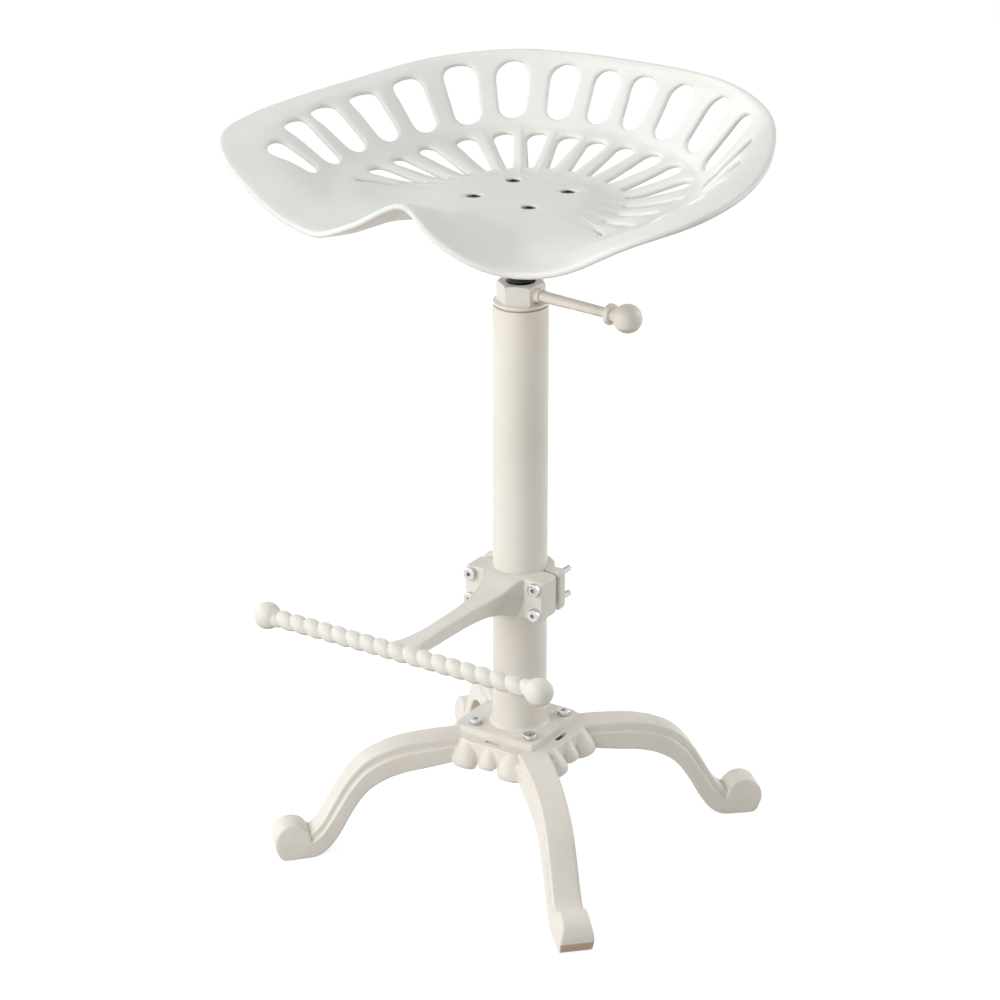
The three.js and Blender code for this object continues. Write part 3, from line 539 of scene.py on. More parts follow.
@dataclass
class NodeSheet:
    """A few short calls for wiring shader nodes."""

    tree: Tree

    def node(self, kind: str, **settings: object) -> Node:
        """A new node.

        Args:
            kind: The node's type.
            settings: Its settings by name.

        Returns:
            The node.
        """
        made = self.tree.nodes.new(kind)
        for key, value in settings.items():
            setattr(made, key, value)
        return made

    def link(self, source: Socket, target: Socket) -> None:
        """Joins two sockets."""
        self.tree.links.new(source, target)

    def fed(self, kind: str, output: str | int, inputs: dict[str | int, object],
            **settings: object) -> Socket:
        """A new node with its inputs linked to sockets or set to plain values.

        Args:
            kind: The node's type.
            output: The output that is wanted.
            inputs: A socket or a value for each input.
            settings: The node's settings by name.

        Returns:
            The output.
        """
        made = self.node(kind, **settings)
        for label, value in inputs.items():
            if isinstance(value, Socket):
                self.link(value, made.inputs[label])
            else:
                made.inputs[label].default_value = value
        return made.outputs[output]

    def maths(self, operation: str, a: object, b: object, clamp: bool = False) -> Socket:
        """One step of arithmetic on two values."""
        return self.fed("ShaderNodeMath", 0, {0: a, 1: b}, operation=operation, use_clamp=clamp)

    def ramp(self, value: Socket, low: float, high: float) -> Socket:
        """A value eased from 0 at low to 1 at high."""
        inputs = {"Value": value, "From Min": low, "From Max": high}
        return self.fed("ShaderNodeMapRange", "Result", inputs, interpolation_type="SMOOTHSTEP")

    def mix(self, share: Socket, a: object, b: object) -> Socket:
        """A colour between two others."""
        return self.fed("ShaderNodeMix", "Result", {"Factor": share, "A": a, "B": b}, data_type="RGBA")

    def noise(self, spot: Socket, scale: float, detail: float, roughness: float) -> Socket:
        """Plain noise in object space."""
        inputs = {"Vector": spot, "Scale": scale, "Detail": detail, "Roughness": roughness}
        return self.fed("ShaderNodeTexNoise", "Fac", inputs)


FLOAT = "NodeSocketFloat"
COLOUR = "NodeSocketColor"


def new_group(name: str, inputs: Sequence[tuple[str, str, object]]) -> tuple[Tree, Node, Node]:
    """An empty shader node group that gives a colour, a roughness and a height.

    Args:
        name: The group's name.
        inputs: Name, socket type and value of each input.

    Returns:
        The tree, its input node and its output node.
    """
    tree = bpy.data.node_groups.new(name, "ShaderNodeTree")
    for label, kind, value in inputs:
        socket = tree.interface.new_socket(label, in_out="INPUT", socket_type=kind)
        socket.default_value = value
    for label, kind in (("Colour", COLOUR), ("Roughness", FLOAT), ("Height", FLOAT)):
        tree.interface.new_socket(label, in_out="OUTPUT", socket_type=kind)
    return tree, tree.nodes.new("NodeGroupInput"), tree.nodes.new("NodeGroupOutput")


@dataclass(frozen=True)
class ToeShade:
    """Painted shade: a darker low band on the outward faces of the toes, near the floor."""

    top: float = 12.5
    full: float = 10.5
    facing_shares: Pair = (0.6, 0.8)

    def mask(self, sheet: NodeSheet, geometry: Node) -> Socket:
        """A mask for the painted shade over the lowest part of faces near the floor that look away from the
        stool's middle.

        Args:
            sheet: The sheet that is wired.
            geometry: The sheet's geometry node.

        Returns:
            The mask, from nought to one.
        """
        position, normal = geometry.outputs["Position"], geometry.outputs["Normal"]
        level = sheet.fed("ShaderNodeVectorMath", 0, {0: position, 1: (1.0, 1.0, 0.0)}, operation="MULTIPLY")
        away = sheet.fed("ShaderNodeVectorMath", 0, {0: level}, operation="NORMALIZE")
        facing = sheet.fed("ShaderNodeVectorMath", "Value", {0: away, 1: normal}, operation="DOT_PRODUCT")
        height = sheet.fed("ShaderNodeSeparateXYZ", "Z", {0: position})
        low = sheet.ramp(height, self.top * MM, self.full * MM)
        return sheet.maths("MULTIPLY", sheet.ramp(facing, *self.facing_shares), low)


@dataclass(frozen=True)
class CastPaint:
    """Paint over a casting: unevenness, peel, dust with painted shade in hollows, rubbed edges and painted
    shade beneath.
    """

    # Scale, detail and roughness of each noise
    broad: Noise = (22.0, 3.0, 0.5)
    blotch: Noise = (60.0, 4.0, 0.6)
    pits: Noise = (240.0, 3.0, 0.55)
    peel: Noise = (950.0, 2.0, 0.5)
    # The values from which and to which each mask rises
    hollow_shares: Pair = (0.5, 0.44)
    dust_shares: Pair = (0.2, 0.75)
    edge_shares: Pair = (0.53, 0.6)
    cloud_shares: Pair = (0.35, 0.75)
    speckle_shares: Pair = (0.3, 0.6)
    # Painted shade on faces that look down rises over these upward shares of the normal
    underside_shade_shares: Pair = (-0.3, -0.8)
    # How strongly each one shows
    edge_share: float = 0.35
    cloud_share: float = 0.1
    speckle_share: float = 0.6
    blotch_rough_share: float = 0.16
    hollow_rough_share: float = 0.2
    broad_height_share: float = 1.2
    blotch_height_share: float = 0.35
    pit_height_share: float = 0.09
    peel_height_share: float = 0.02
    toe_shade: ToeShade = ToeShade()

    def build(self) -> None:
        """Makes the node group."""
        tree, source, sink = new_group(
            "cast_paint",
            [("Paint", COLOUR, (0.8, 0.8, 0.8, 1.0)), ("Hollow Tint", COLOUR, (0.6, 0.55, 0.5, 1.0)),
             ("Edge Tint", COLOUR, (0.9, 0.9, 0.9, 1.0)), ("Under Tint", COLOUR, (0.6, 0.5, 0.4, 1.0)),
             ("Roughness", FLOAT, 0.4), ("Unevenness", FLOAT, 1.0), ("Peel", FLOAT, 1.0),
             ("Age", FLOAT, 0.5)])
        sheet = NodeSheet(tree)
        spot = sheet.node("ShaderNodeTexCoord").outputs["Object"]
        geometry = sheet.node("ShaderNodeNewGeometry")
        point = geometry.outputs["Pointiness"]
        upright = sheet.fed("ShaderNodeSeparateXYZ", "Z", {0: geometry.outputs["Normal"]})
        broad, blotch = sheet.noise(spot, *self.broad), sheet.noise(spot, *self.blotch)
        pits, peel = sheet.noise(spot, *self.pits), sheet.noise(spot, *self.peel)
        # Dust and painted shade in hollows: darker where the surface is concave, patchy, and stronger with
        # age
        dirt_and_shade = sheet.ramp(point, *self.hollow_shares)
        dirt_and_shade = sheet.maths("MULTIPLY", dirt_and_shade, sheet.ramp(blotch, *self.dust_shares))
        dirt_and_shade = sheet.maths("MULTIPLY", dirt_and_shade, source.outputs["Age"], clamp=True)
        edge = sheet.maths("MULTIPLY", sheet.ramp(point, *self.edge_shares), self.edge_share)
        cloud = sheet.maths("MULTIPLY", sheet.ramp(broad, *self.cloud_shares), self.cloud_share)
        speckle = sheet.maths("MULTIPLY", sheet.ramp(blotch, *self.speckle_shares), self.speckle_share)
        speckle = sheet.maths("ADD", speckle, 1 - self.speckle_share)
        # Painted shade, speckled, on faces that look down and on the toes' low outer faces
        under = sheet.ramp(upright, *self.underside_shade_shares)
        under = sheet.maths("MULTIPLY", under, speckle, clamp=True)
        under = sheet.maths("MAXIMUM", under, self.toe_shade.mask(sheet, geometry))
        tone = source.outputs["Paint"]
        # Tints over the paint: a faint random cloud, dust with painted shade in hollows, rubbed edges, and
        # painted shade on undersides and toes
        for share, label in ((cloud, "Hollow Tint"), (dirt_and_shade, "Hollow Tint"), (edge, "Edge Tint"),
                             (under, "Under Tint")):
            tone = sheet.mix(share, tone, source.outputs[label])
        sheet.link(tone, sink.inputs["Colour"])
        swing = sheet.maths("MULTIPLY", sheet.maths("SUBTRACT", blotch, 0.5), self.blotch_rough_share)
        rough = sheet.maths("ADD", source.outputs["Roughness"], swing)
        dusty = sheet.maths("MULTIPLY", dirt_and_shade, self.hollow_rough_share)
        sheet.link(sheet.maths("ADD", rough, dusty, clamp=True), sink.inputs["Roughness"])
        uneven = sheet.maths("ADD", sheet.maths("MULTIPLY", broad, self.broad_height_share),
                             sheet.maths("MULTIPLY", blotch, self.blotch_height_share))
        fine = sheet.maths("ADD", sheet.maths("MULTIPLY", pits, self.pit_height_share),
                           sheet.maths("MULTIPLY", peel, self.peel_height_share))
        height = sheet.maths("ADD", sheet.maths("MULTIPLY", uneven, source.outputs["Unevenness"]),
                             sheet.maths("MULTIPLY", fine, source.outputs["Peel"]))
        sheet.link(height, sink.inputs["Height"])


@dataclass(frozen=True)
class BareMetal:
    """Plated or oiled metal: fine turning marks, a faint cloud and painted shade in hollows."""

    # Scale, detail and roughness of each noise
    cloud: Noise = (90.0, 4.0, 0.6)
    grain: Noise = (1400.0, 2.0, 0.5)
    # The values from which and to which each mask rises
    hollow_shares: Pair = (0.5, 0.42)
    cloud_shares: Pair = (0.45, 0.8)
    # How strongly each one shows
    hollow_share: float = 0.7
    cloud_share: float = 0.25
    cloud_rough_share: float = 0.3

    def build(self) -> None:
        """Makes the node group."""
        tree, source, sink = new_group(
            "bare_metal",
            [("Metal", COLOUR, (0.7, 0.7, 0.7, 1.0)), ("Hollow Tint", COLOUR, (0.1, 0.1, 0.1, 1.0)),
             ("Roughness", FLOAT, 0.3), ("Marks", FLOAT, 1.0)])
        sheet = NodeSheet(tree)
        spot = sheet.node("ShaderNodeTexCoord").outputs["Object"]
        point = sheet.node("ShaderNodeNewGeometry").outputs["Pointiness"]
        cloud, grain = sheet.noise(spot, *self.cloud), sheet.noise(spot, *self.grain)
        tone = source.outputs["Metal"]
        # Painted shade in hollows, and a faint random cloud, both towards the dark tint
        for mask, share in ((sheet.ramp(point, *self.hollow_shares), self.hollow_share),
                            (sheet.ramp(cloud, *self.cloud_shares), self.cloud_share)):
            tone = sheet.mix(sheet.maths("MULTIPLY", mask, share), tone, source.outputs["Hollow Tint"])
        sheet.link(tone, sink.inputs["Colour"])
        swing = sheet.maths("MULTIPLY", sheet.maths("SUBTRACT", cloud, 0.5), self.cloud_rough_share)
        rough = sheet.maths("ADD", source.outputs["Roughness"], swing, clamp=True)
        sheet.link(rough, sink.inputs["Roughness"])
        sheet.link(sheet.maths("MULTIPLY", grain, source.outputs["Marks"]), sink.inputs["Height"])


def linear(value: int) -> float:
    """One channel of a screen colour, from 0 to 255, in the scene's linear values."""
    share = value / 255
    return share / 12.92 if share <= 0.04045 else ((share + 0.055) / 1.055) ** 2.4


def colour(red: int, green: int, blue: int) -> Tint:
    """A colour as written for a screen, in the scene's linear values."""
    return linear(red), linear(green), linear(blue), 1.0


@dataclass(frozen=True)
class PaintFinish:
    """Paint on cast iron or steel."""

    name: str
    paint: Tint
    # The tint of dust and painted shade in hollows, and of a faint random cloud
    dirt_and_shade: Tint
    # The tint of painted shade on faces that look down and on the toes' low outer faces
    under: Tint
    roughness: float
    unevenness: float
    peel: float
    age: float
    coat: float
    edge: Tint = colour(240, 240, 236)
    coat_roughness: float = 0.22
    specular: float = 0.35
    depth: float = 0.4

    def material(self) -> Material:
        """The finish as a material.

        Returns:
            The material.
        """
        made, sheet, shader = blank_material(self.name)
        wire_surface(sheet, shader, "cast_paint", self.depth, {
            "Paint": self.paint, "Hollow Tint": self.dirt_and_shade, "Edge Tint": self.edge, "Under Tint": self.under,
            "Roughness": self.roughness, "Unevenness": self.unevenness, "Peel": self.peel, "Age": self.age})
        shader.inputs["Coat Weight"].default_value = self.coat
        shader.inputs["Coat Roughness"].default_value = self.coat_roughness
        shader.inputs["Specular IOR Level"].default_value = self.specular
        return made


@dataclass(frozen=True)
class MetalFinish:
    """Plated or oiled steel."""

    name: str
    metal: Tint
    # The dark tint of painted shade in hollows and of a faint random cloud
    dirt_and_shade: Tint
    roughness: float
    metallic: float
    marks: float = 1.0
    depth: float = 0.03

    def material(self) -> Material:
        """The finish as a material.

        Returns:
            The material.
        """
        made, sheet, shader = blank_material(self.name)
        wire_surface(sheet, shader, "bare_metal", self.depth, {
            "Metal": self.metal, "Hollow Tint": self.dirt_and_shade, "Roughness": self.roughness,
            "Marks": self.marks})
        shader.inputs["Metallic"].default_value = self.metallic
        return made


def blank_material(name: str) -> tuple[Material, NodeSheet, Node]:
    """A new material with its shader and output joined.

    Args:
        name: The material's name.

    Returns:
        The material, its sheet and its shader.
    """
    made = bpy.data.materials.new(name)
    made.use_nodes = True
    made.node_tree.nodes.clear()
    sheet = NodeSheet(made.node_tree)
    shader = sheet.node("ShaderNodeBsdfPrincipled")
    output = sheet.node("ShaderNodeOutputMaterial")
    sheet.link(shader.outputs["BSDF"], output.inputs["Surface"])
    return made, sheet, shader


def wire_surface(sheet: NodeSheet, shader: Node, name: str, depth: float, values: dict[str, object]) -> None:
    """Feeds a finish group into a shader, with its height as a bump.

    Args:
        sheet: The material's sheet.
        shader: The shader that is fed.
        name: The node group's name.
        depth: The bump's depth in millimetres.
        values: The group's inputs by name.
    """
    group = sheet.node("ShaderNodeGroup", node_tree=bpy.data.node_groups[name])
    for label, value in values.items():
        group.inputs[label].default_value = value
    sheet.link(group.outputs["Colour"], shader.inputs["Base Color"])
    sheet.link(group.outputs["Roughness"], shader.inputs["Roughness"])
    inputs = {"Strength": 1.0, "Distance": depth * MM, "Height": group.outputs["Height"]}
    sheet.link(sheet.fed("ShaderNodeBump", "Normal", inputs), shader.inputs["Normal"])


@dataclass
class Finishes:
    """Every finish on the stool, made once."""

    made: dict[Slot, Material] = field(default_factory=dict)

    def build(self) -> None:
        """Makes the node groups and the materials."""
        CastPaint().build()
        BareMetal().build()
        # Each paint: its colour, the tint of dust and painted shade in hollows, the tint of painted shade
        # beneath; each metal: its colour and the tint of painted shade in hollows
        finishes = {
            Slot.SEAT_PAINT: PaintFinish(
                "seat_paint", colour(229, 231, 226), colour(201, 199, 190), colour(220, 211, 203),
                roughness=0.46, unevenness=0.35, peel=0.8, age=0.35, coat=0.08),
            Slot.FRAME_PAINT: PaintFinish(
                "frame_paint", colour(236, 232, 224), colour(176, 160, 138), colour(188, 163, 138),
                roughness=0.42, unevenness=0.3, peel=0.8, age=0.8, coat=0.1),
            Slot.FOOTREST_PAINT: PaintFinish(
                "footrest_paint", colour(231, 229, 222), colour(172, 160, 144), colour(196, 174, 156),
                roughness=0.45, unevenness=0.5, peel=1.6, age=0.8, coat=0.06),
            Slot.GUIDE_PLASTIC: PaintFinish(
                "guide_plastic", colour(216, 214, 204), colour(180, 176, 165), colour(180, 176, 165),
                roughness=0.55, unevenness=0.05, peel=0.8, age=0.2, coat=0.0),
            Slot.ZINC: MetalFinish(
                "zinc", colour(203, 204, 203), colour(62, 60, 57), roughness=0.34, metallic=1.0),
            Slot.BLACK_STEEL: MetalFinish(
                "black_steel", colour(44, 42, 40), colour(14, 13, 12), roughness=0.42, metallic=0.6),
        }
        for slot, finish in finishes.items():
            self.made[slot] = finish.material()

    def fit(self, body: Body, slot: Slot, crease_deg: float = PLAIN_DEG) -> Fit:
        """A fit on a body with one of the finishes."""
        return Fit(body, slot, self.made[slot], crease_deg)


# Smooth curves through tables


def bend(t: Array, start: Array, finish: Array, lean: Array, rest: Array) -> Array:
    """A cubic from one value to another.

    Args:
        t: How far along, from nought to one.
        start: The first value.
        finish: The last value.
        lean: The slope at the start.
        rest: The slope at the end.

    Returns:
        The cubic's values.
    """
    square, cube = t * t, t * t * t
    return ((2 * cube - 3 * square + 1) * start + (cube - 2 * square + t) * lean
            + (3 * square - 2 * cube) * finish + (cube - square) * rest)


def through(values: Array, knots: Array, at: Array) -> Array:
    """A smooth curve through values at uneven knots.

    Args:
        values: One value, or one row, for each knot. The first and last only steer the ends.
        knots: Where the values hold.
        at: Where the curve is wanted, between the second knot and the last but one.

    Returns:
        The curve's values.
    """
    k = np.clip(np.searchsorted(knots, at, side="right") - 1, 1, len(knots) - 3)
    first, span, final = knots[k] - knots[k - 1], knots[k + 1] - knots[k], knots[k + 2] - knots[k + 1]
    rise = (values[k + 1] - values[k]) / span
    start = ((values[k] - values[k - 1]) / first * span + rise * first) / (first + span)
    finish = (rise * final + (values[k + 2] - values[k + 1]) / final * span) / (span + final)
    return bend((at - knots[k]) / span, values[k], values[k + 1], span * start, span * finish)


def station_curve(values: Sequence[float], stations: Sequence[float], at: Array) -> Array:
    """A smooth curve through a table that runs straight on past both its ends.

    Args:
        values: One value for each station.
        stations: Where the values hold.
        at: Where the curve is wanted.

    Returns:
        The curve's values.
    """
    rows = [np.array(row, float) for row in (values, stations)]
    padded, knots = (np.concatenate([[2 * row[0] - row[1]], row, [2 * row[-1] - row[-2]]]) for row in rows)
    return through(padded, knots, at)


def softened(share: Array) -> Array:
    """A share from nought to one, eased at both ends."""
    return share * share * (3 - 2 * share)


# Seat


def part_way(start: Pair, finish: Pair, share: float) -> Pair:
    """A pair of values on the way from one to another."""
    return start[0] + (finish[0] - start[0]) * share, start[1] + (finish[1] - start[1]) * share


@dataclass
class Opening:
    """One slot of the seat, from its outer end to its inner end."""

    outer_deg: float
    inner_deg: float
    outer_share: float
    inner_share: float
    outer_width: float
    inner_width: float


@dataclass
class SeatCasting:
    """The dished seat with its two rows of slots, its plate, screws and nuts."""

    top: float = 612.0
    half_width: float = 250.0
    back_rise: float = 80.0
    pad_radius: float = 58.0
    thickness: float = 6.5
    hole_spacing: float = 57.3
    rim_share: float = 5.0
    screw_head: float = 6.3
    screw_head_height: float = 2.7
    screw_shank: float = 3.9
    screw_recess: float = 3.3
    screw_tip: float = 2.0
    head_shoulder: float = 1.2
    head_dome_inset: float = 2.4
    head_easing: float = 0.6
    socket: float = 2.6
    socket_depth: float = 1.8
    sink_lip: float = 0.9
    sink_lip_depth: float = 0.7
    sink_lip_rise: float = 0.05
    nut: HexNut = HexNut(across=13.0, height=6.0, bore=4.2, easing=0.35)
    plate_side: float = 78.0
    plate_thickness: float = 6.0
    plate_corner: float = 9.0
    plate_easing: float = 0.5
    station_deg: Row = (0, 20, 40, 60, 80, 95, 105, 115, 125, 135, 145, 155, 165, 180)
    ring_radius_shares: tuple[Row, ...] = (
        (0.304, 0.308, 0.352, 0.372, 0.376, 0.388, 0.408, 0.424, 0.424, 0.408, 0.388, 0.364, 0.344, 0.328),
        (0.472, 0.5, 0.548, 0.564, 0.552, 0.54, 0.564, 0.576, 0.568, 0.544, 0.52, 0.496, 0.476, 0.456),
        (0.54, 0.548, 0.596, 0.624, 0.63, 0.652, 0.672, 0.68, 0.66, 0.628, 0.592, 0.568, 0.544, 0.508),
        (0.642, 0.674, 0.726, 0.767, 0.772, 0.82, 0.848, 0.852, 0.808, 0.728, 0.668, 0.648, 0.624, 0.576),
        (0.6595, 0.6838, 0.738, 0.816, 0.884, 0.956, 1.008, 1.04, 0.98, 0.848, 0.756, 0.736, 0.708, 0.648),
    )
    ring_height_shares: tuple[Row, ...] = (
        (0.037, 0.031, -0.013, -0.044, -0.05, -0.044, -0.037, -0.037, -0.05, -0.056, -0.05, -0.014, 0.005,
         0.04),
        (0.244, 0.235, 0.208, 0.144, 0.11, 0.092, 0.074, 0.052, 0.012, -0.056, -0.088, 0.006, 0.075, 0.157),
        (0.369, 0.362, 0.33, 0.25, 0.2, 0.163, 0.148, 0.118, 0.05, -0.047, -0.117, -0.028, 0.114, 0.231),
        (0.88, 0.873, 0.862, 0.768, 0.638, 0.578, 0.508, 0.415, 0.22, -0.037, -0.117, -0.058, 0.096, 0.302),
        (0.99, 0.982, 0.971, 0.895, 0.745, 0.655, 0.6, 0.522, 0.34, 0.002, -0.12, -0.048, 0.116, 0.388),
    )
    outer_outer_deg: Row = (6.8, 21.4, 38, 53.2, 68.7, 82.6, 95, 104.2, 116)
    outer_inner_deg: Row = (7.4, 23, 38.8, 53, 67, 80.5, 93.2, 105.8, 116.4)
    outer_outer_share: Row = (4.05, 4.05, 4.05, 4.12, 4.13, 4.18, 4.14, 4.15, 4.16)
    outer_inner_share: Row = (3.0, 3.0, 3.0, 2.96, 2.98, 3.02, 3.03, 2.98, 3.18)
    outer_width_share: Row = (0.86, 0.93, 1, 0.96, 0.93, 0.9, 0.86, 0.82, 0.79)
    outer_width: float = 30.0
    outer_taper_share: float = 0.82
    inner_outer_deg: Row = (0, 14.6, 28.7, 42.3, 57.3, 74.8, 91, 104.8, 116.2)
    inner_inner_deg: Row = (0, 15.8, 29.7, 42, 53.4, 67.3, 82, 97, 108.8)
    inner_outer_share: Row = (2.05, 2.05, 2.05, 2.05, 2.05, 2.05, 2.05, 2.05, 2.02)
    inner_inner_share: Row = (0.98, 0.98, 0.98, 0.97, 0.94, 0.9, 0.9, 0.95, 1.1)
    inner_width: float = 18.0
    inner_taper_share: float = 0.3
    inner_width_share: Row = (
        0.3, 1.02, 0.95, 0.97, 1, 1, 1, 1, 1, 1, 1, 1, 1, 0.9, 0.72, 0.45, 0.18)
    inner_sway_deg: float = 2.6
    inner_shift_deg: float = -0.6
    outer_band_shares: Pair = (2.72, 4.52)
    inner_band_shares: Pair = (0.24, 2.34)
    # Rings from the pad's edge in to its middle, which is at minus one
    pad_ring_shares: Row = (0.1, 0.0, -0.25, -0.5, -0.75)
    steps: int = 12
    way_steps: int = 240
    front_columns: int = 44
    share_step: float = 0.02
    turn_step_deg: float = 0.4
    skew_step_deg: float = 0.3
    fullness: float = 0.86
    edge_radius: float = 3.0
    # Across into the slot in shares of the edge's radius, and down through the sheet in millimetres
    slot_edge: Pairs = (
        (0.0, 0.0), (0.3, 0.22), (0.56, 0.6), (0.78, 1.16), (0.93, 1.9), (1.0, 2.8), (0.98, 4.2), (0.84, 5.2),
        (0.5, 6.05), (0.0, 6.5))
    # Out past the rim and down through the sheet, in millimetres
    rim_edge: Pairs = (
        (0.0, 0.0), (1.3, 0.3), (2.4, 0.95), (3.2, 1.9), (3.65, 3.0), (3.7, 4.0), (3.35, 5.0), (2.6, 5.8),
        (1.4, 6.3), (0.0, 6.5))
    # Ring share and lift of the rows where the face bends over to the rim
    rim_rows: Pairs = ((4.62, 0.0), (4.73, -0.03), (4.83, -0.12), (4.92, -0.3), (5.0, -0.6))
    rib_height: float = 0.35
    flute_depth: float = 0.55
    flute_tail: float = 0.45
    outer_dip: float = 0.25
    rim_roll_share: float = 0.013
    roll_start_share: float = 3.6
    rim_pace: float = 2.4
    least_pace_share: float = 0.2
    skew_limit_share: float = 3.7

    def __post_init__(self) -> None:
        """Mirrors the station tables so that the curves run smoothly past both ends."""
        deg = np.array(self.station_deg, float)
        self.knots = np.concatenate([-deg[1:3][::-1], deg, 360 - deg[-3:-1][::-1]])
        self.radius_rows = [self.mirrored(row) * self.half_width for row in self.ring_radius_shares]
        self.height_rows = [self.mirrored(row) * self.back_rise for row in self.ring_height_shares]
        self.under = self.top - self.thickness
        self.plate_under = self.under - self.plate_thickness
        self.hole_radius = self.hole_spacing / sqrt(2)

    @staticmethod
    def mirrored(shares: Sequence[float]) -> Array:
        """A table row with two of its values mirrored past each end."""
        row = np.array(shares, float)
        return np.concatenate([row[1:3][::-1], row, row[-3:-1][::-1]])

    def around(self, rows: list[Array], deg: Array) -> Array:
        """Each table row at the given angles, one row for each ring."""
        turn = np.abs((deg + 180.0) % 360.0 - 180.0)
        return np.stack([through(row, self.knots, turn) for row in rows])

    def last_pace(self, deg: Array) -> Array:
        """How far the curve slows at the last ring but one, so as not to turn back where rings lie close.

        Args:
            deg: Angles round the seat.

        Returns:
            A share of the curve's own slope for each angle.
        """
        third, fourth, fifth = self.around(self.radius_rows[-3:], deg)
        pace = self.rim_pace * (fifth - fourth) / ((fifth - third) / 2)
        return np.clip(pace, self.least_pace_share, 1.0)

    def along(self, rings: Array, share: Array, pace: Array) -> Array:
        """A smooth curve from ring to ring, at one ring share for each column.

        Args:
            rings: A row of values for each ring.
            share: A ring share for each column.
            pace: How far each column slows at the last ring but one.

        Returns:
            The values.
        """
        first, last = 2 * rings[0] - rings[1], 2 * rings[-1] - rings[-2]
        padded = np.vstack([first, rings, last])
        k = np.clip(np.floor(share).astype(int), 0, len(rings) - 2) + 1
        t = share - (k - 1)
        column = np.arange(len(share))
        before, start, finish, after = (padded[k + j, column] for j in (-1, 0, 1, 2))
        lean, rest = (finish - before) / 2, (after - start) / 2
        lean = np.where(k == len(rings) - 1, lean * pace, lean)
        rest = np.where(k == len(rings) - 2, rest * pace, rest)
        return bend(t, start, finish, lean, rest)

    def radius(self, deg: Array, share: Array) -> Array:
        """Distance from the seat's middle.

        Args:
            deg: Angles round the seat.
            share: Ring shares, one for each angle.

        Returns:
            The distances.
        """
        rings = np.vstack([np.full(len(deg), self.pad_radius), self.around(self.radius_rows, deg)])
        reach = self.along(rings, np.maximum(share, 0), self.last_pace(deg))
        return np.where(share <= 0, self.pad_radius * (1 + share), reach)

    def place(self, deg: Array, share: Array) -> Array:
        """Points of the seat's upper face, one row each.

        Args:
            deg: Angles round the seat.
            share: Ring shares, one for each angle.

        Returns:
            The points.
        """
        radius = self.radius(deg, share)
        rings = np.vstack([np.zeros(len(deg)), self.around(self.height_rows, deg)])
        height = np.where(share <= 0, 0.0, self.along(rings, np.maximum(share, 0), self.last_pace(deg)))
        turn = np.radians(deg)
        edge = np.clip((share - self.roll_start_share) / (self.rim_share - self.roll_start_share), 0.0, 1.0)
        height = height + self.rim_roll_share * radius * np.sin(turn) * softened(edge)
        return np.stack([radius * np.sin(turn), radius * np.cos(turn), height], 1)

    def outward(self, deg: Array, share: Array) -> Array:
        """The way out along the face.

        Args:
            deg: Angles round the seat.
            share: Ring shares, one for each angle.

        Returns:
            A unit direction for each point.
        """
        step = self.share_step
        way = self.place(deg, np.minimum(share + step, self.rim_share)) - self.place(deg, share - step)
        return way / np.maximum(np.linalg.norm(way, axis=1, keepdims=True), TINY)

    def normal(self, deg: Array, share: Array) -> Array:
        """The way up from the face.

        Args:
            deg: Angles round the seat.
            share: Ring shares, one for each angle.

        Returns:
            A unit direction for each point.
        """
        step = self.turn_step_deg
        sideways = self.place(deg + step, share) - self.place(deg - step, share)
        up = -np.cross(self.outward(deg, share), sideways)
        length = np.linalg.norm(up, axis=1, keepdims=True)
        flat = np.array([0.0, 0.0, 1.0])
        return np.where((share[:, None] <= 0) | (length < TINY), flat, up / np.maximum(length, TINY))

    def outline(self, slot: Opening, grow: float) -> list[Pair]:
        """The slot's edge, drawn in millimetres along and across the slot's own middle line.

        Args:
            slot: The slot.
            grow: How far outside the slot the line runs.

        Returns:
            Angle and ring share of each spot, clockwise from the outer left corner.
        """
        way = np.linspace(0.0, 1.0, self.way_steps)
        first = np.array([slot.inner_deg, slot.inner_share])
        lean = np.array([slot.outer_deg, slot.outer_share]) - first
        steps = np.linalg.norm(np.diff(self.place(*(first + way[:, None] * lean).T), axis=0), axis=1)
        run = np.concatenate([[0.0], np.cumsum(steps)])
        outer, inner = slot.outer_width / 2, slot.inner_width / 2
        turns = [pi * j / self.steps for j in range(self.steps + 1)]
        ends = []
        for half, middle, side, full in ((outer, run[-1] - outer, 1, self.fullness), (inner, inner, -1, 1.0)):
            ends.append([(-copysign(abs(cos(t)) ** full, cos(t)) * side * (half + grow),
                          middle + (half + grow) * side * abs(sin(t)) ** full) for t in turns])
        wide, narrow = ends
        loop = wide + self.between(wide[-1], narrow[0]) + narrow + self.between(narrow[-1], wide[0])
        across, along = (np.array(column) for column in zip(*loop))
        at = np.interp(along, run, way) + np.minimum(along, 0.0) * way[1] / steps[0]
        at += np.maximum(along - run[-1], 0.0) * way[1] / steps[-1]
        deg, share = (first + at[:, None] * lean).T
        held = np.minimum(share, self.skew_limit_share)
        turn, rise = self.skew_step_deg, self.share_step
        turned = (self.place(deg + turn, held) - self.place(deg - turn, held)) / (2 * turn)
        risen = (self.place(deg, held + rise) - self.place(deg, held - rise)) / (2 * rise)
        axis = lean[0] * turned + lean[1] * risen
        slide = (turned * axis).sum(1) / (axis * axis).sum(1)
        pace = np.linalg.norm(turned - slide[:, None] * axis, axis=1)
        deg, share = deg + across * (1 - slide * lean[0]) / pace, share - across * slide * lean[1] / pace
        return list(zip(deg.tolist(), share.tolist()))

    def between(self, start: Pair, finish: Pair) -> list[Pair]:
        """Even spots between two others, without them."""
        shares = [(j + 1) / self.steps for j in range(self.steps - 1)]
        return [part_way(start, finish, t) for t in shares]

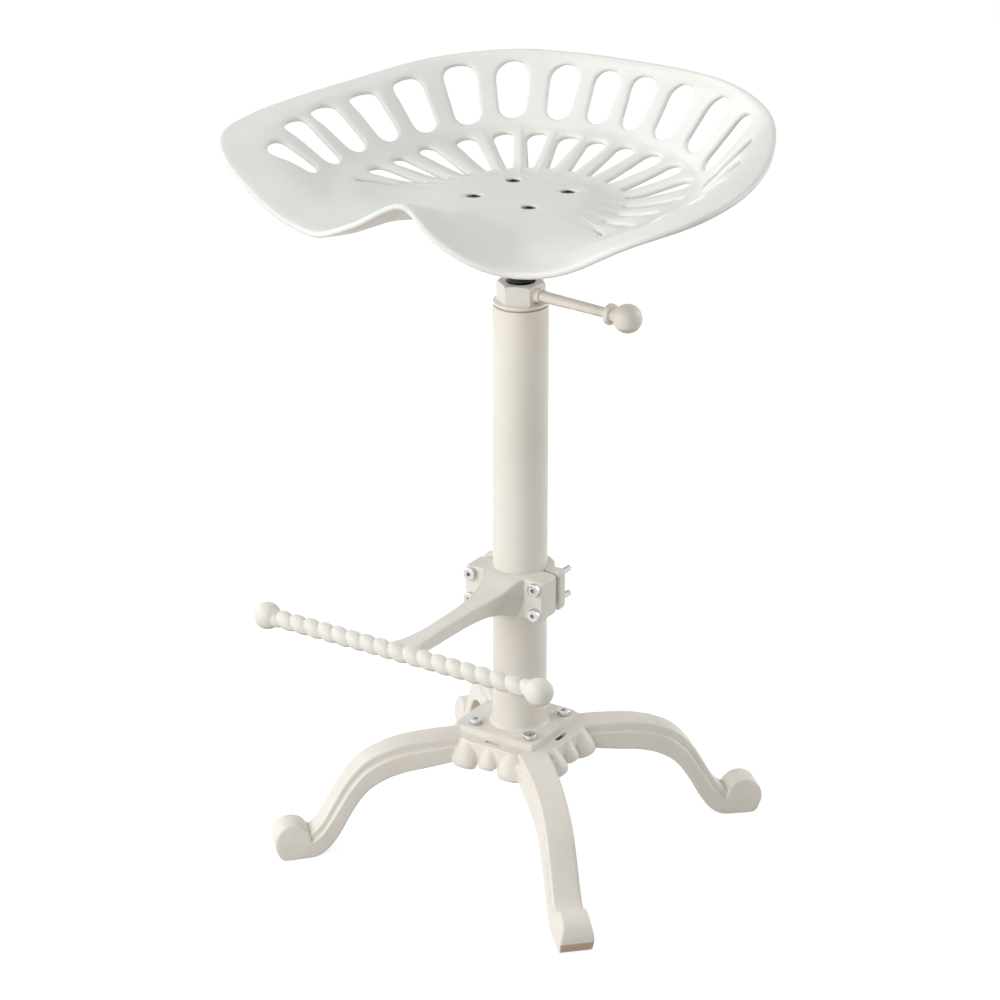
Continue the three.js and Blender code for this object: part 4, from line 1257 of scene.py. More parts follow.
    def outer_openings(self) -> list[Opening]:
        """The outer row of slots.

        Returns:
            The slots, left to right.
        """
        result = []
        count = len(self.outer_outer_deg)
        for side, k in [(-1, k) for k in reversed(range(count))] + [(1, k) for k in range(count)]:
            width = self.outer_width * self.outer_width_share[k]
            result.append(Opening(side * self.outer_outer_deg[k], side * self.outer_inner_deg[k],
                                  self.outer_outer_share[k], self.outer_inner_share[k], width,
                                  width * self.outer_taper_share))
        return result

    def inner_openings(self) -> list[Opening]:
        """The inner row of slots.

        Returns:
            The slots, left to right.
        """
        result = []
        last = len(self.inner_outer_deg) - 1
        for k in range(-last, last + 1):
            side, j = (1 if k >= 0 else -1), abs(k)
            sway = self.inner_sway_deg * (k / last) ** 2 + self.inner_shift_deg
            width = self.inner_width * self.inner_width_share[k + last]
            outer, inner = side * self.inner_outer_deg[j] + sway, side * self.inner_inner_deg[j] + sway
            result.append(Opening(outer, inner, self.inner_outer_share[j], self.inner_inner_share[j], width,
                                  width * self.inner_taper_share))
        return result

    def shell(self) -> Skin:
        """The whole casting before its screw holes.

        Returns:
            The shell.
        """
        sheet = SeatSheet(self)
        outer_low, outer_high = sheet.band(
            self.outer_openings(), self.outer_band_shares, 0.0, -self.outer_dip, 0.0)
        inner_low, inner_high = sheet.band(
            self.inner_openings(), self.inner_band_shares, self.rib_height, -self.flute_depth,
            -self.flute_tail)
        sheet.stitch(inner_high, outer_low)
        rows = [inner_low]
        for share in self.pad_ring_shares:
            rows.append([(deg, share) for deg, _ in inner_low])
        for high, low in zip(rows, rows[1:]):
            sheet.strip(low, high)
        for k in range(len(rows[-1])):
            sheet.face([rows[-1][k], rows[-1][(k + 1) % len(rows[-1])], (0.0, -1.0)])
        rows = [outer_high]
        for share, lift in self.rim_rows:
            rows.append([(deg, share) for deg, _ in outer_high])
            for spot in rows[-1]:
                sheet.number(spot, lift)
        for low, high in zip(rows, rows[1:]):
            sheet.strip(low, high)
        return sheet.thickened().moved(z=self.top)

    def turned(self, skin: Skin) -> Skin:
        """A skin turned as far as the seat."""
        return skin.turned(Axis.Z, SEAT_TURN_DEG)

    def build(self, finishes: Finishes) -> None:
        """Makes and dresses the casting, its plate, its screws and its nuts.

        Args:
            finishes: The stool's finishes.
        """
        paint = finishes.fit(Body.SEAT, Slot.SEAT_PAINT, CAST_DEG)
        black = finishes.fit(Body.SEAT, Slot.BLACK_STEEL)
        zinc = finishes.fit(Body.SEAT, Slot.ZINC)
        spots = four_spots(self.hole_radius)
        bore, sink = self.screw_shank + GAP, self.screw_head + GAP
        low, high, seat_low = self.under - OVERRUN, self.top + OVERRUN, self.top - self.screw_recess
        lip = sink + self.sink_lip
        hole: Loop = [(0.0, low), (bore, low), (bore, seat_low), (sink, seat_low),
                      (sink, self.top - self.sink_lip_depth), (lip, self.top + self.sink_lip_rise),
                      (lip, high), (0.0, high)]
        holes = [self.turned(lathe(hole, 40).moved(x, y)) for x, y in spots]
        place(carved(as_object("seat_shell", self.turned(self.shell())), holes), paint, "seat")
        outline = soft_square(self.plate_side / 2, self.plate_corner)
        plate = as_object("seat_bracket", self.turned(prism(outline, self.plate_under, self.under)))
        drill = rod(bore, self.plate_under - OVERRUN, self.under + OVERRUN, 32)
        carved(plate, [self.turned(drill.moved(x, y)) for x, y in spots])
        place(eased(plate, self.plate_easing), black, "seat_plate")
        for k, (x, y) in enumerate(spots):
            place(self.screw(k, x, y), black, f"seat_screw_{k + 1}")
            nut = self.nut.build(f"seat_bolt_nut_{k + 1}", self.plate_under, (x, y))
            place(nut, zinc, f"seat_nut_{k + 1}")

    def screw(self, k: int, x: float, y: float) -> Piece:
        """One recessed screw with a domed socket head.

        Args:
            k: Its number, from nought.
            x: Its place across the seat.
            y: Its place along the seat.

        Returns:
            The screw.
        """
        low, top = self.plate_under - self.nut.height - self.screw_tip, self.top - self.screw_recess
        head = top + self.screw_head_height
        shank, wide = self.screw_shank, self.screw_head
        shoulder = (wide, head - self.head_shoulder)
        profile = rounded([(0.0, low), (shank, low), (shank, top), (wide, top), shoulder,
                           (wide - self.head_dome_inset, head), (0.0, head)], self.head_easing, 3)
        piece = as_object(f"seat_bolt_{k + 1}", self.turned(lathe(profile, 36).moved(x, y)))
        key = prism(polygon(self.socket, 6), head - self.socket_depth, head + OVERRUN)
        return carved(piece, [self.turned(key.moved(x, y))])


class SeatSheet:
    """The seat's face as shared spots of angle and ring share, thickened into a shell."""

    # Spots are one where they agree to such a part of a degree and of a ring share
    deg_parts: int = 1_000
    share_parts: int = 10_000
    # From a cell's frame in to its slot
    cell_shares: Row = (0.0, 0.22, 0.43, 0.63, 0.82, 1.0)

    def __init__(self, seat: SeatCasting) -> None:
        """Starts an empty sheet on a seat.

        Args:
            seat: The seat's sizes and face.
        """
        self.seat = seat
        self.numbers: dict[tuple[int, int], int] = {}
        self.spots: list[Pair] = []
        self.lift: list[float] = []
        self.faces: Faces = []
        self.mouths: list[tuple[list[int], Array]] = []

    def number(self, spot: Pair, lift: float = 0.0) -> int:
        """The number of a spot, made on its first use.

        Args:
            spot: Its angle and ring share.
            lift: How far the face rises there.

        Returns:
            The number.
        """
        turn = spot[0] % 360.0 if spot[1] > -1 else 0.0
        key = (round(turn * self.deg_parts) % (360 * self.deg_parts), round(spot[1] * self.share_parts))
        if key not in self.numbers:
            self.numbers[key] = len(self.spots)
            self.spots.append((turn, spot[1]))
            self.lift.append(lift)
        return self.numbers[key]

    def face(self, corners: Sequence[Pair]) -> None:
        """Adds one face, given clockwise from above."""
        self.add(tuple(self.number(corner) for corner in corners))

    def add(self, loop: tuple[int, ...]) -> None:
        """Adds one face by its spots' numbers, without repeats.

        Args:
            loop: The numbers, clockwise from above.
        """
        clean = tuple(i for k, i in enumerate(loop) if i != loop[(k + 1) % len(loop)])
        if len(clean) > 2:
            self.faces.append(clean)

    def strip(self, low: Sequence[Pair], high: Sequence[Pair]) -> None:
        """Faces between two rings with the same number of spots.

        Args:
            low: The inner ring.
            high: The outer ring.
        """
        for k in range(len(low)):
            j = (k + 1) % len(low)
            self.face([high[k], high[j], low[j], low[k]])

    def band(self, slots: list[Opening], band: Pair, side_lift: float, mouth_lift: float,
             tail_lift: float) -> tuple[list[Pair], list[Pair]]:
        """Cells round a row of slots and plain columns across the front.

        Args:
            slots: The row of slots, left to right.
            band: The ring shares below and above the row.
            side_lift: How far the face rises midway between two slots.
            mouth_lift: How far it falls at a slot's edge, as a negative height.
            tail_lift: How far it falls in line with a slot at the band's inner edge.

        Returns:
            The spots along the band's inner and outer edges.
        """
        seat, steps, (low, high) = self.seat, self.seat.steps, band
        outer = self.margins([slot.outer_deg for slot in slots])
        inner = self.margins([slot.inner_deg for slot in slots])
        for k, slot in enumerate(slots):
            corners = [(outer[k], high), (outer[k + 1], high), (inner[k + 1], low), (inner[k], low)]
            frame_spots: list[Pair] = []
            rise: list[float] = []
            for c, corner in enumerate(corners):
                plain = (k == 0 and c == 3) or (k == len(slots) - 1 and c == 1)
                swell = 0.0 if plain else (0.0, side_lift, tail_lift, side_lift)[c]
                frame_spots += [corner] + seat.between(corner, corners[(c + 1) % 4])
                rise += [swell * sin(pi * j / steps) for j in range(steps)]
            brink, hole = seat.outline(slot, seat.edge_radius), seat.outline(slot, 0.0)
            way = seat.place(*np.array(hole).T) - seat.place(*np.array(brink).T)
            rings: list[list[int]] = []
            for f in self.cell_shares:
                ring = []
                ease = f * f
                for j, (start, finish) in enumerate(zip(frame_spots, brink)):
                    lift = rise[j] * (1 - ease) + mouth_lift * ease
                    ring.append(self.number(part_way(start, finish, f), lift))
                rings.append(ring)
            for ring, nearer in zip(rings, rings[1:]):
                for j in range(len(ring)):
                    n = (j + 1) % len(ring)
                    self.add((ring[j], ring[n], nearer[n], nearer[j]))
            self.mouths.append((rings[-1], way))
        columns = seat.front_columns
        last = len(slots)
        edges: list[list[Pair]] = []
        for row in range(steps + 1):
            t = row / steps
            start = inner[last] + (outer[last] - inner[last]) * t
            finish = inner[0] + (outer[0] - inner[0]) * t + 360.0
            share = low + (high - low) * t
            edges.append([(start + (finish - start) * c / columns, share) for c in range(columns + 1)])
        for near, far in zip(edges, edges[1:]):
            for c in range(columns):
                self.face([far[c], far[c + 1], near[c + 1], near[c]])
        result = []
        for limits, share, front in ((inner, low, edges[0]), (outer, high, edges[-1])):
            ring = [(limits[k] + (limits[k + 1] - limits[k]) * j / steps, share)
                    for k in range(last) for j in range(steps)]
            result.append(ring + front[:-1])
        return result[0], result[1]

    @staticmethod
    def margins(middles: list[float]) -> list[float]:
        """Angles midway between neighbours, and half a step past both ends.

        Args:
            middles: The angles.

        Returns:
            One angle more than was given.
        """
        half = (middles[-1] - middles[-2]) / 2
        inside = [(a + b) / 2 for a, b in zip(middles, middles[1:])]
        return [middles[0] - half, *inside, middles[-1] + half]

    @staticmethod
    def lapped(ring: list[Pair], k: int) -> float:
        """The angle of a ring's spot, counted on past a full turn."""
        return ring[k % len(ring)][0] + 360.0 * (k // len(ring))

    def stitch(self, inner: list[Pair], outer: list[Pair]) -> None:
        """Triangles between two closed rings that start at about the same angle.

        Args:
            inner: The inner ring.
            outer: The outer ring.
        """
        i = o = 0
        while i < len(inner) or o < len(outer):
            if i < len(inner) and (o >= len(outer) or self.lapped(inner, i + 1) < self.lapped(outer, o + 1)):
                self.face([outer[o % len(outer)], inner[(i + 1) % len(inner)], inner[i]])
                i += 1
            else:
                self.face([outer[o], outer[(o + 1) % len(outer)], inner[i % len(inner)]])
                o += 1

    def thickened(self) -> Skin:
        """The sheet with its underside, its eased slot edges and its rolled lip.

        Returns:
            The closed skin.
        """
        seat = self.seat
        deg, share = (np.array(column) for column in zip(*self.spots))
        top, normal = seat.place(deg, share), seat.normal(deg, share)
        outward = seat.outward(deg, share)
        lifted = top + normal * np.array(self.lift)[:, None]
        count = len(top)
        points = [lifted, top - normal * seat.thickness]
        faces: Faces = list(self.faces)
        faces += [tuple(i + count for i in loop[::-1]) for loop in self.faces]
        total = 2 * count
        edges = {(a, b) for loop in self.faces for a, b in zip(loop, loop[1:] + loop[:1])}
        rim = {a: b for a, b in edges if (b, a) not in edges and share[a] >= seat.rim_share - TINY}
        start = next(iter(rim))
        rim_loop = [start]
        while rim[rim_loop[-1]] != start:
            rim_loop.append(rim[rim_loop[-1]])
        rim_loop.reverse()
        chains = [(rim_loop, outward[rim_loop], seat.rim_edge)]
        chains += [(mouth, way, seat.slot_edge) for mouth, way in self.mouths]
        for loop, way, profile in chains:
            rows = [np.array(loop)]
            for across, down in profile[1:-1]:
                base = top[loop] + (lifted[loop] - top[loop]) * (1 - down / seat.thickness)
                points.append(base + way * across - normal[loop] * down)
                rows.append(np.arange(total, total + len(loop)))
                total += len(loop)
            rows.append(np.array(loop) + count)
            for high, low in zip(rows, rows[1:]):
                for k in range(len(loop)):
                    j = (k + 1) % len(loop)
                    faces.append((int(high[k]), int(high[j]), int(low[j]), int(low[k])))
        return Skin(np.concatenate(points), faces)


# Lift and lock


@dataclass
class SpindleLift:
    """The screw spindle with its guide disc and nut inside the tube."""

    radius: float = 12.5
    top: float = 599.5
    length: float = 270.0
    stud_radius: float = 6.0
    stud_length: float = 38.0
    stud_root: float = 1.0
    stud_easing: float = 1.0
    pitch: float = 6.0
    rings_per_pitch: int = 8
    thread_depth: float = 1.5
    thread_steps: int = 48
    thread_start: float = 0.2
    start_inset: float = 0.6
    plain_length: float = 4.0
    plain_run_in: float = 0.3
    crest_share: float = 0.3
    flank_share: float = 0.4
    guide_radius: float = 21.1
    guide_bore: float = 6.4
    guide_height: float = 24.0
    guide_easing: float = 1.2
    nut: HexNut = HexNut(across=18.0, height=9.0, bore=6.3, easing=0.4)

    def thread(self) -> Skin:
        """The right-hand thread as one closed skin of rings that follow the helix.

        Returns:
            The thread with its plain top.
        """
        shoulder, plain = self.top - self.length, self.top - self.plain_length
        turn = np.arange(self.thread_steps) * FULL_TURN / self.thread_steps
        rings = [circle(turn, self.radius - self.thread_depth - self.start_inset, shoulder)]
        for height in np.arange(shoulder + self.thread_start, plain, self.pitch / self.rings_per_pitch):
            phase = (height / self.pitch - turn / FULL_TURN) % 1.0
            flank = np.abs(phase - 0.5) * 2
            depth = self.thread_depth * np.clip((flank - self.crest_share) / self.flank_share, 0, 1)
            rings.append(circle(turn, self.radius - depth, height))
        rings += [circle(turn, self.radius, height) for height in (plain + self.plain_run_in, self.top)]
        return loft(rings)

    def build(self, finishes: Finishes) -> None:
        """Makes the spindle, its guide disc and its nut.

        Args:
            finishes: The stool's finishes.
        """
        shoulder = self.top - self.length
        foot = shoulder - self.stud_length
        stud = rod(self.stud_radius, foot, shoulder + self.stud_root, 32, self.stud_easing)
        black = finishes.fit(Body.SEAT, Slot.BLACK_STEEL, TURNED_DEG)
        place(joined(as_object("screw_spindle", self.thread()), [stud]), black, "spindle")
        top = shoulder - GAP
        low = top - self.guide_height
        disc = lathe(ring_profile(self.guide_bore, self.guide_radius, low, top, self.guide_easing), 72)
        place(as_object("guide_disc", disc), finishes.fit(Body.GUIDE, Slot.GUIDE_PLASTIC), "spindle_guide")
        nut = self.nut.build("stud_nut", low - GAP)
        place(nut, finishes.fit(Body.SEAT, Slot.ZINC), "guide_nut")


@dataclass
class LockNut:
    """The hexagon lock nut with its lever rod and ball."""

    low: float = 517.0
    height: float = 17.0
    corner: float = 21.5
    turn_deg: float = -7.0
    chamfer: float = 2.3
    chamfer_reach: float = 1.2
    chamfer_drop: float = 2.6
    easing: float = 0.45
    bore: float = 12.9
    boss_radius: float = 6.8
    boss_length: float = 5.0
    boss_root: float = 3.0
    boss_easing: float = 0.9
    # Out from the boss and along from the nut's flat
    boss_fillet: Pairs = ((1.4, -0.2), (0.5, 0.5), (0.0, 1.4))
    rod_radius: float = 5.2
    tip_radius: float = 4.4
    lever_drop: float = 0.5
    seat_depth: float = 5.0
    stop_radius: float = 9.3
    stop_thickness: float = 5.0
    stop_easing: float = 1.5
    neck_radius: float = 6.4
    neck_length: float = 4.6
    neck_easing: float = 0.3
    knob_radius: float = 12.6
    knob_reach: float = 115.8
    knob_hole: float = 9.0
    knob_steps: int = 34
    pin_radius: float = 1.8
    pin_turn_deg: float = 5.0
    pin_lift: float = 2.0
    pin_depth: float = 3.0
    pin_reach: float = 4.0

    def aimed(self, skin: Skin) -> Skin:
        """A skin along Z laid along the lever."""
        height = self.low + self.height / 2 - self.lever_drop
        return skin.turned(Axis.Y, 90).turned(Axis.Z, self.turn_deg).moved(z=height)

    def build(self, finishes: Finishes) -> None:
        """Makes the nut, the rod and the ball.

        Args:
            finishes: The stool's finishes.
        """
        paint = finishes.fit(Body.LOCK, Slot.FRAME_PAINT, TURNED_DEG)
        flat = self.corner * cos(pi / 6)
        place(eased(self.nut(flat), self.easing), paint, "lock_nut")
        face = self.knob_reach - sqrt(self.knob_radius ** 2 - self.neck_radius ** 2)
        place(as_object("lever", self.aimed(lathe(self.lever(flat, face), 48))), paint, "lever_rod")
        ball = self.aimed(lathe(self.knob(), 64).moved(z=self.knob_reach))
        place(as_object("lever_ball", ball), paint, "lever_knob")

    def nut(self, flat: float) -> Piece:
        """The hexagon with its boss, its bore and the hole of its pin.

        Args:
            flat: How far the hexagon's flats lie from the axis.

        Returns:
            The nut.
        """
        top = self.low + self.height
        blank = as_object("hex_nut", prism(polygon(self.corner, 6, self.turn_deg + 30), self.low, top))
        inside, outside = self.corner - self.chamfer, self.corner + 2 * OVERRUN
        slope = [(inside, top), (self.corner + self.chamfer_reach, top - self.chamfer_drop),
                 (outside, top - self.chamfer_drop), (outside, top + OVERRUN), (inside, top + OVERRUN),
                 (inside, top)]
        carved(blank, [lathe(slope, 72)])
        root, end = flat - self.boss_root, flat + self.boss_length
        boss = rounded([(0.0, root), (self.boss_radius, root), (self.boss_radius, end), (0.0, end)],
                       self.boss_easing)
        fillet = [(self.boss_radius + out, flat + along) for out, along in self.boss_fillet]
        fillet = [(0.0, root), (fillet[0][0], root), *fillet, (0.0, fillet[-1][1])]
        for profile in (boss, fillet):
            joined(blank, [self.aimed(lathe(profile, 48))])
        socket = self.aimed(rod(self.rod_radius + GAP, flat - self.seat_depth, end + OVERRUN, 40))
        pin = rod(self.pin_radius, flat - self.pin_depth, flat + self.pin_reach, 28).turned(Axis.Y, 90)
        pin = pin.turned(Axis.Z, self.turn_deg + self.pin_turn_deg).moved(z=self.low + self.pin_lift)
        carved(blank, [rod(self.bore, self.low - OVERRUN, top + OVERRUN, 72), socket])
        return carved(blank, [pin])

    def lever(self, flat: float, face: float) -> Loop:
        """The rod's profile, from its seat in the nut to its tip in the ball.

        Args:
            flat: How far the hexagon's flats lie from the axis.
            face: Where the neck meets the ball.

        Returns:
            Radius and place along the lever, from the inner end.
        """
        end = face - self.neck_length
        start, seat, ease = end - self.stop_thickness, flat - self.seat_depth + GAP, self.neck_easing
        neck, stop, tip = self.neck_radius, self.stop_radius, face + self.knob_hole - GAP
        disc = rounded([(self.tip_radius, start), (stop, start), (stop, end), (neck + ease, end)],
                       self.stop_easing, 5)
        return [(0.0, seat), (self.rod_radius, seat), *disc, (neck, end + 2 * ease), (neck, face - ease),
                (neck - ease, face), (self.tip_radius, face), (self.tip_radius, tip), (0.0, tip)]

    def knob(self) -> Loop:
        """The ball's profile with its blind hole.

        Returns:
            Radius and place along the lever from the ball's middle.
        """
        hole = self.tip_radius + GAP
        sink = asin(self.neck_radius / self.knob_radius)
        low = -self.knob_radius * cos(sink)
        profile = [(0.0, low + self.knob_hole), (hole, low + self.knob_hole), (hole, low)]
        for angle in np.linspace(sink, pi, self.knob_steps)[:-1]:
            profile.append((self.knob_radius * sin(angle), -self.knob_radius * cos(angle)))
        return [*profile, (0.0, self.knob_radius)]


# Column and base


@dataclass(frozen=True)
class CapScrew:
    """A socket cap screw along +Z."""

    shank: float
    head: float
    head_height: float
    length: float
    socket: float
    socket_depth: float
    thread_length: float
    thread_depth: float = 0.5
    thread_pitch: float = 1.25
    tip_inset: float = 0.4
    neck: float = 1.0
    easing: float = 0.9
    socket_easing: float = 0.12

    def build(self, name: str, seat: float) -> Piece:
        """Makes the screw about the column's axis.

        Args:
            name: The piece's name.
            seat: The height of the head's seat.

        Returns:
            The screw.
        """
        head, tip, root = seat + self.head_height, seat - self.length, self.shank - self.thread_depth
        crests = np.arange(tip + self.thread_pitch, tip + self.thread_length, self.thread_pitch)
        thread = [spot for z in crests for spot in ((root, float(z)),
                                                    (self.shank, float(z) + self.thread_pitch / 2))]
        top = rounded([(self.shank, seat - self.neck), (self.shank, seat), (self.head, seat),
                       (self.head, head), (0.0, head)], self.easing, 4)
        piece = as_object(name, lathe([(0.0, tip), (root - self.tip_inset, tip), *thread, *top], 48))
        key = prism(polygon(self.socket, 6), head - self.socket_depth, head + OVERRUN)
        return eased(carved(piece, [key]), self.socket_easing, 2)


@dataclass
class Column:
    """The tube, its collar, the square flange and the flange's screws."""

    radius: float = 24.5
    wall: float = 3.0
    top: float = 513.6
    base_top: float = 108.0
    mouth_depth: float = 8.0
    mouth_easing: float = 1.1
    flange_side: float = 80.0
    flange_thickness: float = 6.3
    flange_corner: float = 4.5
    flange_easing: float = 1.1
    weld: float = 3.2
    # Out from the tube and up from the flange, in shares of the weld
    weld_shares: Pairs = ((1.0, 0.0), (0.62, 0.3), (0.24, 0.8), (0.0, 1.5))
    ring_low: float = 514.0
    ring_high: float = 517.0
    ring_inset: float = 0.3
    ring_easing: float = 0.6
    seam: float = 0.9
    plug_length: float = 40.0
    plug_start: float = 10.0
    bore: float = 12.9
    screw_pitch: float = 41.1
    screw: CapScrew = CapScrew(shank=3.7, head=6.1, head_height=4.6, length=20.0, socket=2.7,
                               socket_depth=2.6, thread_length=13.0)

    def build(self, finishes: Finishes) -> None:
        """Makes the tube, collar, flange and screws.

        Args:
            finishes: The stool's finishes.
        """
        paint = finishes.fit(Body.COLUMN, Slot.FRAME_PAINT, TURNED_DEG)
        foot = self.base_top + self.flange_thickness
        bore = self.radius - self.wall
        weld = [(self.radius + self.weld * out, foot + self.weld * up) for out, up in self.weld_shares]
        mouth = self.top - self.seam
        rim = rounded([weld[-1], (self.radius, mouth), (bore, mouth), (bore, self.top - self.mouth_depth)],
                      self.mouth_easing, 4)
        tube = [(bore, foot), *weld, *rim[1:], (bore, foot)]
        place(as_object("tube", lathe(tube, 96)), paint, "column_tube")
        ring = self.radius - self.ring_inset
        plug, low = bore - GAP, self.top - self.plug_length
        start = (self.bore, low + self.plug_start)
        corners: Loop = [start, (self.bore, low), (plug, low), (plug, self.ring_low), (ring, self.ring_low),
                         (ring, self.ring_high), (self.bore, self.ring_high), start]
        collar = lathe(rounded(corners, self.ring_easing, 3), 96)
        place(as_object("top_collar", collar), paint, "column_collar")
        outline = soft_square(self.flange_side / 2, self.flange_corner)
        plate = as_object("foot_plate", prism(outline, self.base_top, foot))
        spots = four_spots(self.screw_pitch)
        drill = rod(self.screw.shank + GAP, self.base_top - OVERRUN, foot + OVERRUN, 32)
        carved(plate, [drill.moved(x, y) for x, y in spots])
        place(eased(plate, self.flange_easing, 4), paint, "column_flange")
        zinc = finishes.fit(Body.COLUMN, Slot.ZINC)
        for k, (x, y) in enumerate(spots):
            screw = self.screw.build(f"foot_screw_{k + 1}", foot)
            screw.data.transform(shift(x, y))
            place(screw, zinc, f"base_screw_{k + 1}")


def shift(x: float, y: float, z: float = 0.0) -> Matrix:
    """A move by millimetres."""
    return Matrix.Translation((x * MM, y * MM, z * MM))


@dataclass
class Base:
    """The cast base: four legs with scroll feet round a square hub with an apron of lobes."""

    top: float = 108.0
    hub_half: float = 53.0
    hub_corner_reach: float = 76.0
    hub_bottom: float = 88.0
    core_radius: float = 34.0
    leg_half: float = 15.5
    leg_reach: float = 213.0
    scroll_radius: float = 17.0
    scroll_easing: float = 2.24
    scroll_flare_share: float = 0.2
    flare_start_share: float = 0.3
    toe_flat: float = 0.25
    toe_inset: float = 0.8
    lobe_offset: float = 24.0
    lobe_set_back: float = 46.5
    lobe_height: float = 26.5
    lobe_radius: float = 12.4
    small_set_back: float = 48.5
    small_height: float = 21.0
    small_radius: float = 8.4
    lean_deg: float = 24.0
    depth_share: float = 0.8
    lobe_drop: float = 1.5
    small_drop: float = 2.5
    slot_length: float = 17.0
    slot_width: float = 4.4
    slot_bow: float = 1.2
    slot_end_steps: int = 8
    slot_set_back: float = 45.2
    pocket_length: float = 12.0
    pocket_depth: float = 16.0
    pocket_height: float = 11.0
    pocket_roof: float = 1.2
    screw_pitch: float = 41.1
    screw_bore: float = 4.0
    screw_depth: float = 17.7
    floor_half: float = 300.0
    floor_depth: float = 30.0
    reach_shares: Row = (
        0.08, 0.3, 0.42, 0.52, 0.61, 0.695, 0.75, 0.79, 0.83, 0.868, 0.905, 0.94, 1.01)
    top_shares: Row = (
        0.998, 0.998, 0.99, 0.97, 0.92, 0.83, 0.72, 0.605, 0.465, 0.335, 0.245, 0.205, 0.17)
    bottom_shares: Row = (
        0.78, 0.78, 0.745, 0.715, 0.655, 0.53, 0.37, 0.225, 0.11, 0.038, 0.006, 0, 0)
    width_shares: Row = (1.08, 1.1, 1.06, 1, 0.97, 0.96, 0.96, 0.96, 0.96, 0.97, 0.975, 0.98, 1)
    most_top_share: float = 0.998
    # Out from a lobe's axis and up its side
    lobe_shares: Pairs = (
        (0.0, 0.0), (0.62, 0.0), (0.83, 0.035), (0.94, 0.1), (0.99, 0.2), (1.0, 0.32), (0.95, 0.46),
        (0.86, 0.6), (0.75, 0.74), (0.65, 0.88), (0.55, 1.0), (0.0, 1.0))
    toe_shares: Pairs = ((0, 0), (0.56, 0), (0.76, 0.19), (0.86, 0.48), (0, 0.48))
    # Across and up, from the middle of the underside round one side to the middle of the top
    section_shares: Pairs = (
        (0.0, 0.0), (0.5, 0.0), (0.86, 0.0), (0.96, 0.03), (1.0, 0.1), (1.0, 0.3), (1.0, 0.64), (0.98, 0.675),
        (0.86, 0.69), (0.8, 0.72), (0.78, 0.79), (0.79, 0.88), (0.79, 0.94), (0.74, 0.985), (0.4, 0.995),
        (0.0, 1.0))
    steps: int = 72
    voxel: float = 0.85
    passes: int = 3

    def leg(self) -> list[Skin]:
        """One leg along +X with its scroll and toe.

        Returns:
            The leg's skins, which overlap.
        """
        share = np.linspace(self.reach_shares[0], self.reach_shares[-1], self.steps)
        top, low, half = (station_curve(row, self.reach_shares, share)
                          for row in (self.top_shares, self.bottom_shares, self.width_shares))
        top, low = np.minimum(top, self.most_top_share) * self.top, np.maximum(low, 0.0) * self.top
        half = half * self.leg_half
        rings = []
        for k in range(self.steps):
            side = [(half[k] * a, low[k] + (top[k] - low[k]) * u) for a, u in self.section_shares]
            loop = side + [(-a, u) for a, u in side[-2:0:-1]]
            rings.append(np.array([(self.leg_reach * share[k], y, z) for y, z in loop]))
        radius, wide = self.scroll_radius, self.leg_half
        profile = rounded([(0.0, -wide), (radius, -wide), (radius, wide), (0.0, wide)], self.scroll_easing, 6)
        scroll = lathe(profile, 96).turned(Axis.X, 90)
        start = self.flare_start_share
        fall = np.clip((scroll.points[:, 2] + start * radius) / ((1 + start) * radius), 0.0, 1.0)
        scroll.points[:, 1] *= 1 - self.scroll_flare_share * softened(fall)
        scroll = scroll.moved(self.leg_reach, 0, radius - self.toe_flat)
        corners = [(self.leg_reach + radius * x, radius * z) for x, z in self.toe_shares]
        toe = prism(corners, self.toe_inset - wide, wide - self.toe_inset).turned(Axis.X, 90)
        return [loft(rings), scroll, toe]

    def lobe(self, radius: float, height: float) -> Skin:
        """One rounded lobe hanging from its top at zero."""
        skin = lathe([(radius * out, height * (up - 1)) for out, up in self.lobe_shares], 40)
        return Skin(skin.points * [1, self.depth_share, 1], skin.faces).turned(Axis.X, -self.lean_deg)

    def skins(self) -> list[Skin]:
        """Every overlapping skin of the casting.

        Returns:
            The skins.
        """
        result = []
        for k in range(4):
            result += [skin.turned(Axis.Z, 45 + 90 * k) for skin in self.leg()]
        corner = 2 * self.hub_half - self.hub_corner_reach
        crop = self.hub_half - corner
        half = self.hub_half
        ring = [(half, -crop), (half, crop), (crop, half), (-crop, half), (-half, crop), (-half, -crop),
                (-crop, -half), (crop, -half)]
        result.append(prism(ring, self.hub_bottom, self.top))
        result.append(rod(self.core_radius, self.hub_bottom - self.lobe_drop, self.top, 72))
        big, small = self.top - self.lobe_drop, self.top - self.small_drop
        for k in range(4):
            for x in (-self.lobe_offset, self.lobe_offset):
                lobe = self.lobe(self.lobe_radius, self.lobe_height).moved(x, -self.lobe_set_back, big)
                result.append(lobe.turned(Axis.Z, 90 * k))
            lobe = self.lobe(self.small_radius, self.small_height).moved(0, -self.small_set_back, small)
            result.append(lobe.turned(Axis.Z, 90 * k))
        return result

    def build(self, finishes: Finishes) -> None:
        """Fuses the casting and cuts its slots, its screw holes and its level foot.

        Args:
            finishes: The stool's finishes.
        """
        casting = fused("cast_base", self.skins(), self.voxel, self.passes)
        bottom, top, far = self.hub_bottom - self.lobe_height, self.top + OVERRUN, self.floor_half
        slot = prism(self.slot_outline(), bottom, top)
        drill = rod(self.screw_bore, self.top - self.screw_depth, top, 32)
        cutters = [slot.turned(Axis.Z, 90 * k) for k in range(4)]
        cutters += [drill.moved(x, y) for x, y in four_spots(self.screw_pitch)]
        cutters.append(prism([(-far, -far), (far, -far), (far, far), (-far, far)], -self.floor_depth, 0.0))
        carved(carved(casting, cutters), [self.pocket()])
        place(casting, finishes.fit(Body.COLUMN, Slot.FRAME_PAINT, CAST_DEG), "base_casting")

